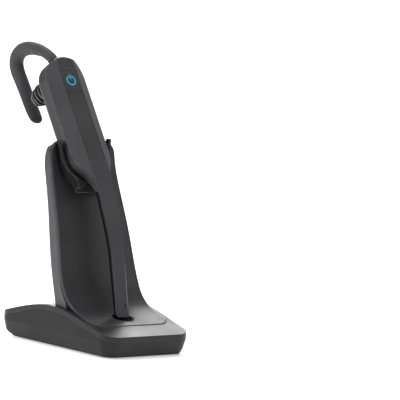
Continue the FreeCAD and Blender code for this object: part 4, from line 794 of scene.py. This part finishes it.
@dataclass
class EarHook:
    """Overmoulded hook that runs up, over the ear and down to a flat paddle, with a parting crease each side.

    The path is (depth, height) along the headset's body, wide and deep are half sizes at even shares of it,
    root and tail the shares over which its ends round off, and inside what it stays within the CAD hook.
    """

    path: tuple[tuple[float, float], ...] = (
        (9.2, 66.5), (10.2, 69.8), (13.7, 74.8), (18.6, 79.4), (24.7, 83.6), (31.4, 86.1), (37.3, 85.4),
        (40.6, 82.0), (41.5, 77.0), (41.1, 71.5), (40.7, 65.5), (40.3, 59.5), (39.9, 53.0), (39.3, 47.5),
        (38.9, 43.2))
    wide: tuple[float, ...] = (3.0, 3.1, 3.5, 3.9, 4.0, 4.0, 4.2, 4.6, 4.7, 4.2)
    deep: tuple[float, ...] = (3.0, 3.1, 3.6, 4.1, 4.3, 4.2, 3.5, 2.4, 2.0, 1.7)
    tail: float = 0.045
    crease: float = 0.35
    crease_angle: float = 8.0
    crease_spread: float = 4.0
    crease_ends: tuple[float, float] = (0.06, 0.08)
    root: float = 0.006
    root_size: float = 0.86
    inside: float = 0.02
    root_rings: int = 6
    rings: int = 130
    tail_rings: int = 14
    around: int = 72

    def shares(self) -> list[float]:
        """Shares of the length at which rings stand, closer together where the ends round off."""
        start = [self.root * (1 - math.cos(k * math.pi / (2 * self.root_rings)))
                 for k in range(self.root_rings)]
        middle = [self.root + (1 - self.tail - self.root) * k / self.rings for k in range(self.rings)]
        end = [1 - self.tail + self.tail * math.sin(k * math.pi / (2 * self.tail_rings))
               for k in range(self.tail_rings + 1)]
        return start + middle + end

    def sizes(self, share: float) -> tuple[float, float]:
        """Half width and half depth at a share of the hook's length."""
        last = len(self.wide) - 1
        index = min(int(share * last + 1e-9), last - 1)
        blend = share * last - index
        blend = blend * blend * (3 - 2 * blend)
        tail = max(0.0, (share - 1 + self.tail) / self.tail)
        start = max(0.0, 1 - share / self.root)
        root_gain = 1 - self.root_size
        shrink = (math.sqrt(max(1 - 0.99 * tail ** 2, 0.0))
                  * (self.root_size + root_gain * math.sqrt(1 - start ** 2)))
        wide, deep = [(sizes[index] + (sizes[index + 1] - sizes[index]) * blend) * shrink
                      for sizes in (self.wide, self.deep)]
        return wide, deep

    def ring(self, place: Vector, tangent: Vector, share: float) -> list[Vector]:
        """Makes one cross-section.

        Args:
            place: (depth, height) of the centre line.
            tangent: its direction.
            share: share of the hook's length.

        Returns:
            The ring's points in metres.
        """
        wide, deep = self.sizes(share)
        first, last = self.crease_ends
        groove = self.crease * min(1.0, share / first, (1 - share) / last)
        points = []
        for k in range(self.around):
            angle = math.tau * k / self.around
            inset = self.inside
            for side in (self.crease_angle, 180.0 - self.crease_angle):
                off = (math.degrees(angle) - side + 180) % 360 - 180
                inset += groove * math.exp(-(off / self.crease_spread) ** 2)
            x = math.cos(angle) * (wide - inset)
            up = math.sin(angle) * (deep - inset)
            points.append(seated(Vector((x, place.x - tangent.y * up, place.y + tangent.x * up))))
        return points

    def build(self) -> bpy.types.Object:
        """Builds the hook and stands it for its CAD node."""
        points, faces, count = [], [], self.around
        shares = self.shares()
        for (place, tangent), share in zip(smooth_path(list(self.path), shares), shares):
            points += self.ring(place, tangent, share)
        for i in range(len(shares) - 1):
            for k in range(count):
                a, b = i * count, (i + 1) * count
                faces.append((a + k, a + (k + 1) % count, b + (k + 1) % count, b + k))
        for base in (0, (len(shares) - 1) * count):
            centre = sum((points[base + k] for k in range(count)), Vector()) / count
            points.append(centre)
            faces += [(len(points) - 1, base + k, base + (k + 1) % count) for k in range(count)]
        made = mesh_object("elastomer_ear_hook", points, faces)
        made.data.materials.append(HOOK_SKIN.material())
        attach(made, Body.HOOK.value)
        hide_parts("ear_hook_cover")
        return made


# ---------------------------------------------------------------- stand parts
@dataclass
class RubberPad:
    """Soft pad under the base, with a raised rim and rows of small studs that grip the desk.

    stud is a stud's radius and stud_root its whole length as a multiple of what stands proud.
    """

    stud: float = 0.8
    stud_height: float = 0.22
    stud_root: float = 1.6
    stud_sides: int = 14
    pitch: float = 3.2
    rim: float = 1.6
    edge: float = 0.2

    def build(self) -> bpy.types.Object:
        """Builds the pad and stands it for its CAD node."""
        finish = RUBBER.material()
        plate = softened_copy("rubber_pad", "studded_rubber_pad", self.edge)
        low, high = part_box("rubber_pad")
        floor = low.z + self.stud_height * MM
        for vertex in plate.data.vertices:
            edge = min(vertex.co.x - low.x, high.x - vertex.co.x, vertex.co.y - low.y, high.y - vertex.co.y)
            if vertex.co.z < floor and edge > self.rim * MM:
                vertex.co.z = floor
        points, faces = turned([(0.0001, 0.0), (0.8, 0.0), (1.0, 0.35), (1.0, 1.0), (0.0001, 1.0)],
                               self.stud_sides, False)
        stud = mesh_object("stud_shape", points, faces)
        columns = int((high.x - low.x) / MM / self.pitch) - 1
        rows = int((high.y - low.y) / MM / self.pitch) - 1
        middle = (low + high) / 2
        places = [Vector((middle.x + (i - (columns - 1) / 2) * self.pitch * MM,
                          middle.y + (j - (rows - 1) / 2) * self.pitch * MM, low.z))
                  for i in range(columns) for j in range(rows)]
        size = Vector((self.stud, self.stud, self.stud_height * self.stud_root))
        studs = SetOut("studs_in_rows").make("studs", places, [size] * len(places), [Vector()] * len(places),
                                             stud, finish, MM)
        joined = bmesh.new()
        joined.from_mesh(plate.data)
        joined.from_mesh(studs.data)
        joined.to_mesh(plate.data)
        joined.free()
        bpy.data.objects.remove(studs)
        plate.data.materials.clear()
        plate.data.materials.append(finish)
        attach(plate, Body.STAND.value)
        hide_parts("rubber_pad")
        return plate


@dataclass
class SocketLiner:
    """Soft oval cup in the tongue that the boom's tip points into."""

    edge: float = 0.25

    def build(self) -> bpy.types.Object:
        """Builds the cup with a rolled lip and stands it for its CAD node."""
        made = softened_copy("boom_socket_liner", "rubber_socket_cup", self.edge)
        made.data.materials.clear()
        made.data.materials.append(RUBBER.material())
        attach(made, Body.STAND.value)
        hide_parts("boom_socket_liner")
        return made


# ---------------------------------------------------------------- finish the frame
def dress_frame() -> None:
    """Gives every CAD node the finish of the real piece."""
    for finish, nodes in NODE_FINISHES.items():
        material = finish.material()
        for node in nodes:
            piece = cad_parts[node]
            for place in piece.material_slots:
                place.material = material
            log.info("dressed %s in %s", node, finish.name)


# ---------------------------------------------------------------- studio
@dataclass(frozen=True)
class Softbox:
    """Square studio lamp aimed at the product."""

    name: str
    place: tuple[float, float, float]
    size: float
    power: float
    colour: str = "#FFFFFF"

    def build(self, aim: Vector) -> None:
        """Hangs the lamp and turns it to its aim."""
        lamp = bpy.data.lights.new(self.name, "AREA")
        lamp.shape, lamp.size, lamp.energy = "SQUARE", self.size, self.power
        lamp.color = linear(self.colour)[:3]
        holder = bpy.data.objects.new(self.name, lamp)
        holder.location = self.place
        holder.rotation_euler = (aim - Vector(self.place)).to_track_quat("-Z", "Y").to_euler()
        bpy.context.scene.collection.objects.link(holder)


@dataclass
class Studio:
    """Pale floor, soft light and the camera."""

    azimuth: float = -39.4
    elevation: float = 6.4
    roll: float = 3.4
    distance: float = 2.289
    target: tuple[float, float, float] = (0.02183, -0.05644, 0.08719)
    lens: float = 378.0
    aim: tuple[float, float, float] = (0.0, 0.0, 0.08)
    room_light: float = 0.22
    floor_reach: float = 6.0
    floor_drop: float = 0.0002
    floor_glow: float = 0.45
    lamps: tuple[Softbox, ...] = (
        Softbox("back_wall", (1.75, 2.15, 1.55), 2.2, 68.0),
        Softbox("overhead_bank", (-0.2, 0.1, 1.5), 1.2, 13.0),
        Softbox("bank_left", (-1.2, 0.45, 0.6), 0.5, 5.0),
        Softbox("bank_front", (0.3, -1.4, 0.9), 0.8, 3.0),
    )

    def camera(self) -> None:
        """Sets the camera up."""
        a, e, r = (math.radians(v) for v in (self.azimuth, self.elevation, self.roll))
        back = Vector((math.sin(a) * math.cos(e), -math.cos(a) * math.cos(e), math.sin(e)))
        right = Vector((math.cos(a), math.sin(a), 0.0))
        up = back.cross(right)
        tilted = right * math.cos(r) + up * math.sin(r)
        upright = up * math.cos(r) - right * math.sin(r)
        data = bpy.data.cameras.new("camera")
        data.lens, data.sensor_width = self.lens, 36.0
        data.clip_start, data.clip_end = 0.1, 20.0
        holder = bpy.data.objects.new("camera", data)
        turn = Matrix((tilted, upright, back)).transposed().to_4x4()
        holder.matrix_world = Matrix.Translation(Vector(self.target) + back * self.distance) @ turn
        bpy.context.scene.collection.objects.link(holder)
        bpy.context.scene.camera = holder

    def floor(self) -> None:
        """Lays the pale floor."""
        reach = self.floor_reach
        points = [Vector((x * reach, y * reach, -self.floor_drop))
                  for x, y in ((-1, -1), (1, -1), (1, 1), (-1, 1))]
        made = mesh_object("floor", points, [(0, 1, 2, 3)], False)
        material, tree, place = start_material("floor_paper_white")
        cloud = add_node(tree, "ShaderNodeTexNoise", {"Vector": place, "Scale": 40.0})
        shader = add_node(tree, "ShaderNodeBsdfPrincipled", {
            "Base Color": blended(tree, cloud.outputs["Fac"], linear("#F6F6F6"), linear("#F9F9F9")),
            "Roughness": 0.9, "Emission Color": linear("#FFFFFF"), "Emission Strength": self.floor_glow})
        add_node(tree, "ShaderNodeOutputMaterial", {"Surface": shader.outputs["BSDF"]})
        made.data.materials.append(material)

    def build(self) -> None:
        """Builds the whole studio."""
        scene = bpy.context.scene
        world = bpy.data.worlds.new("studio")
        world.use_nodes = True
        background = world.node_tree.nodes["Background"].inputs
        background["Color"].default_value = linear("#FFFFFF")
        background["Strength"].default_value = self.room_light
        scene.world = world
        scene.view_settings.view_transform = "Standard"
        self.camera()
        self.floor()
        for lamp in self.lamps:
            lamp.build(Vector(self.aim))


def main() -> None:
    """Builds the pieces in order and notes each one."""
    logging.basicConfig(level=logging.INFO, format="%(name)s: %(message)s")
    Studio().build()
    dress_frame()
    tip = EarTip()
    for made in (tip.build(), NozzleMesh().build(tip), EarHook().build(), RubberPad().build(),
                 SocketLiner().build()):
        log.info("made %s: %d faces", made.name, len(made.data.polygons))


if __name__ == "__main__":
    main()
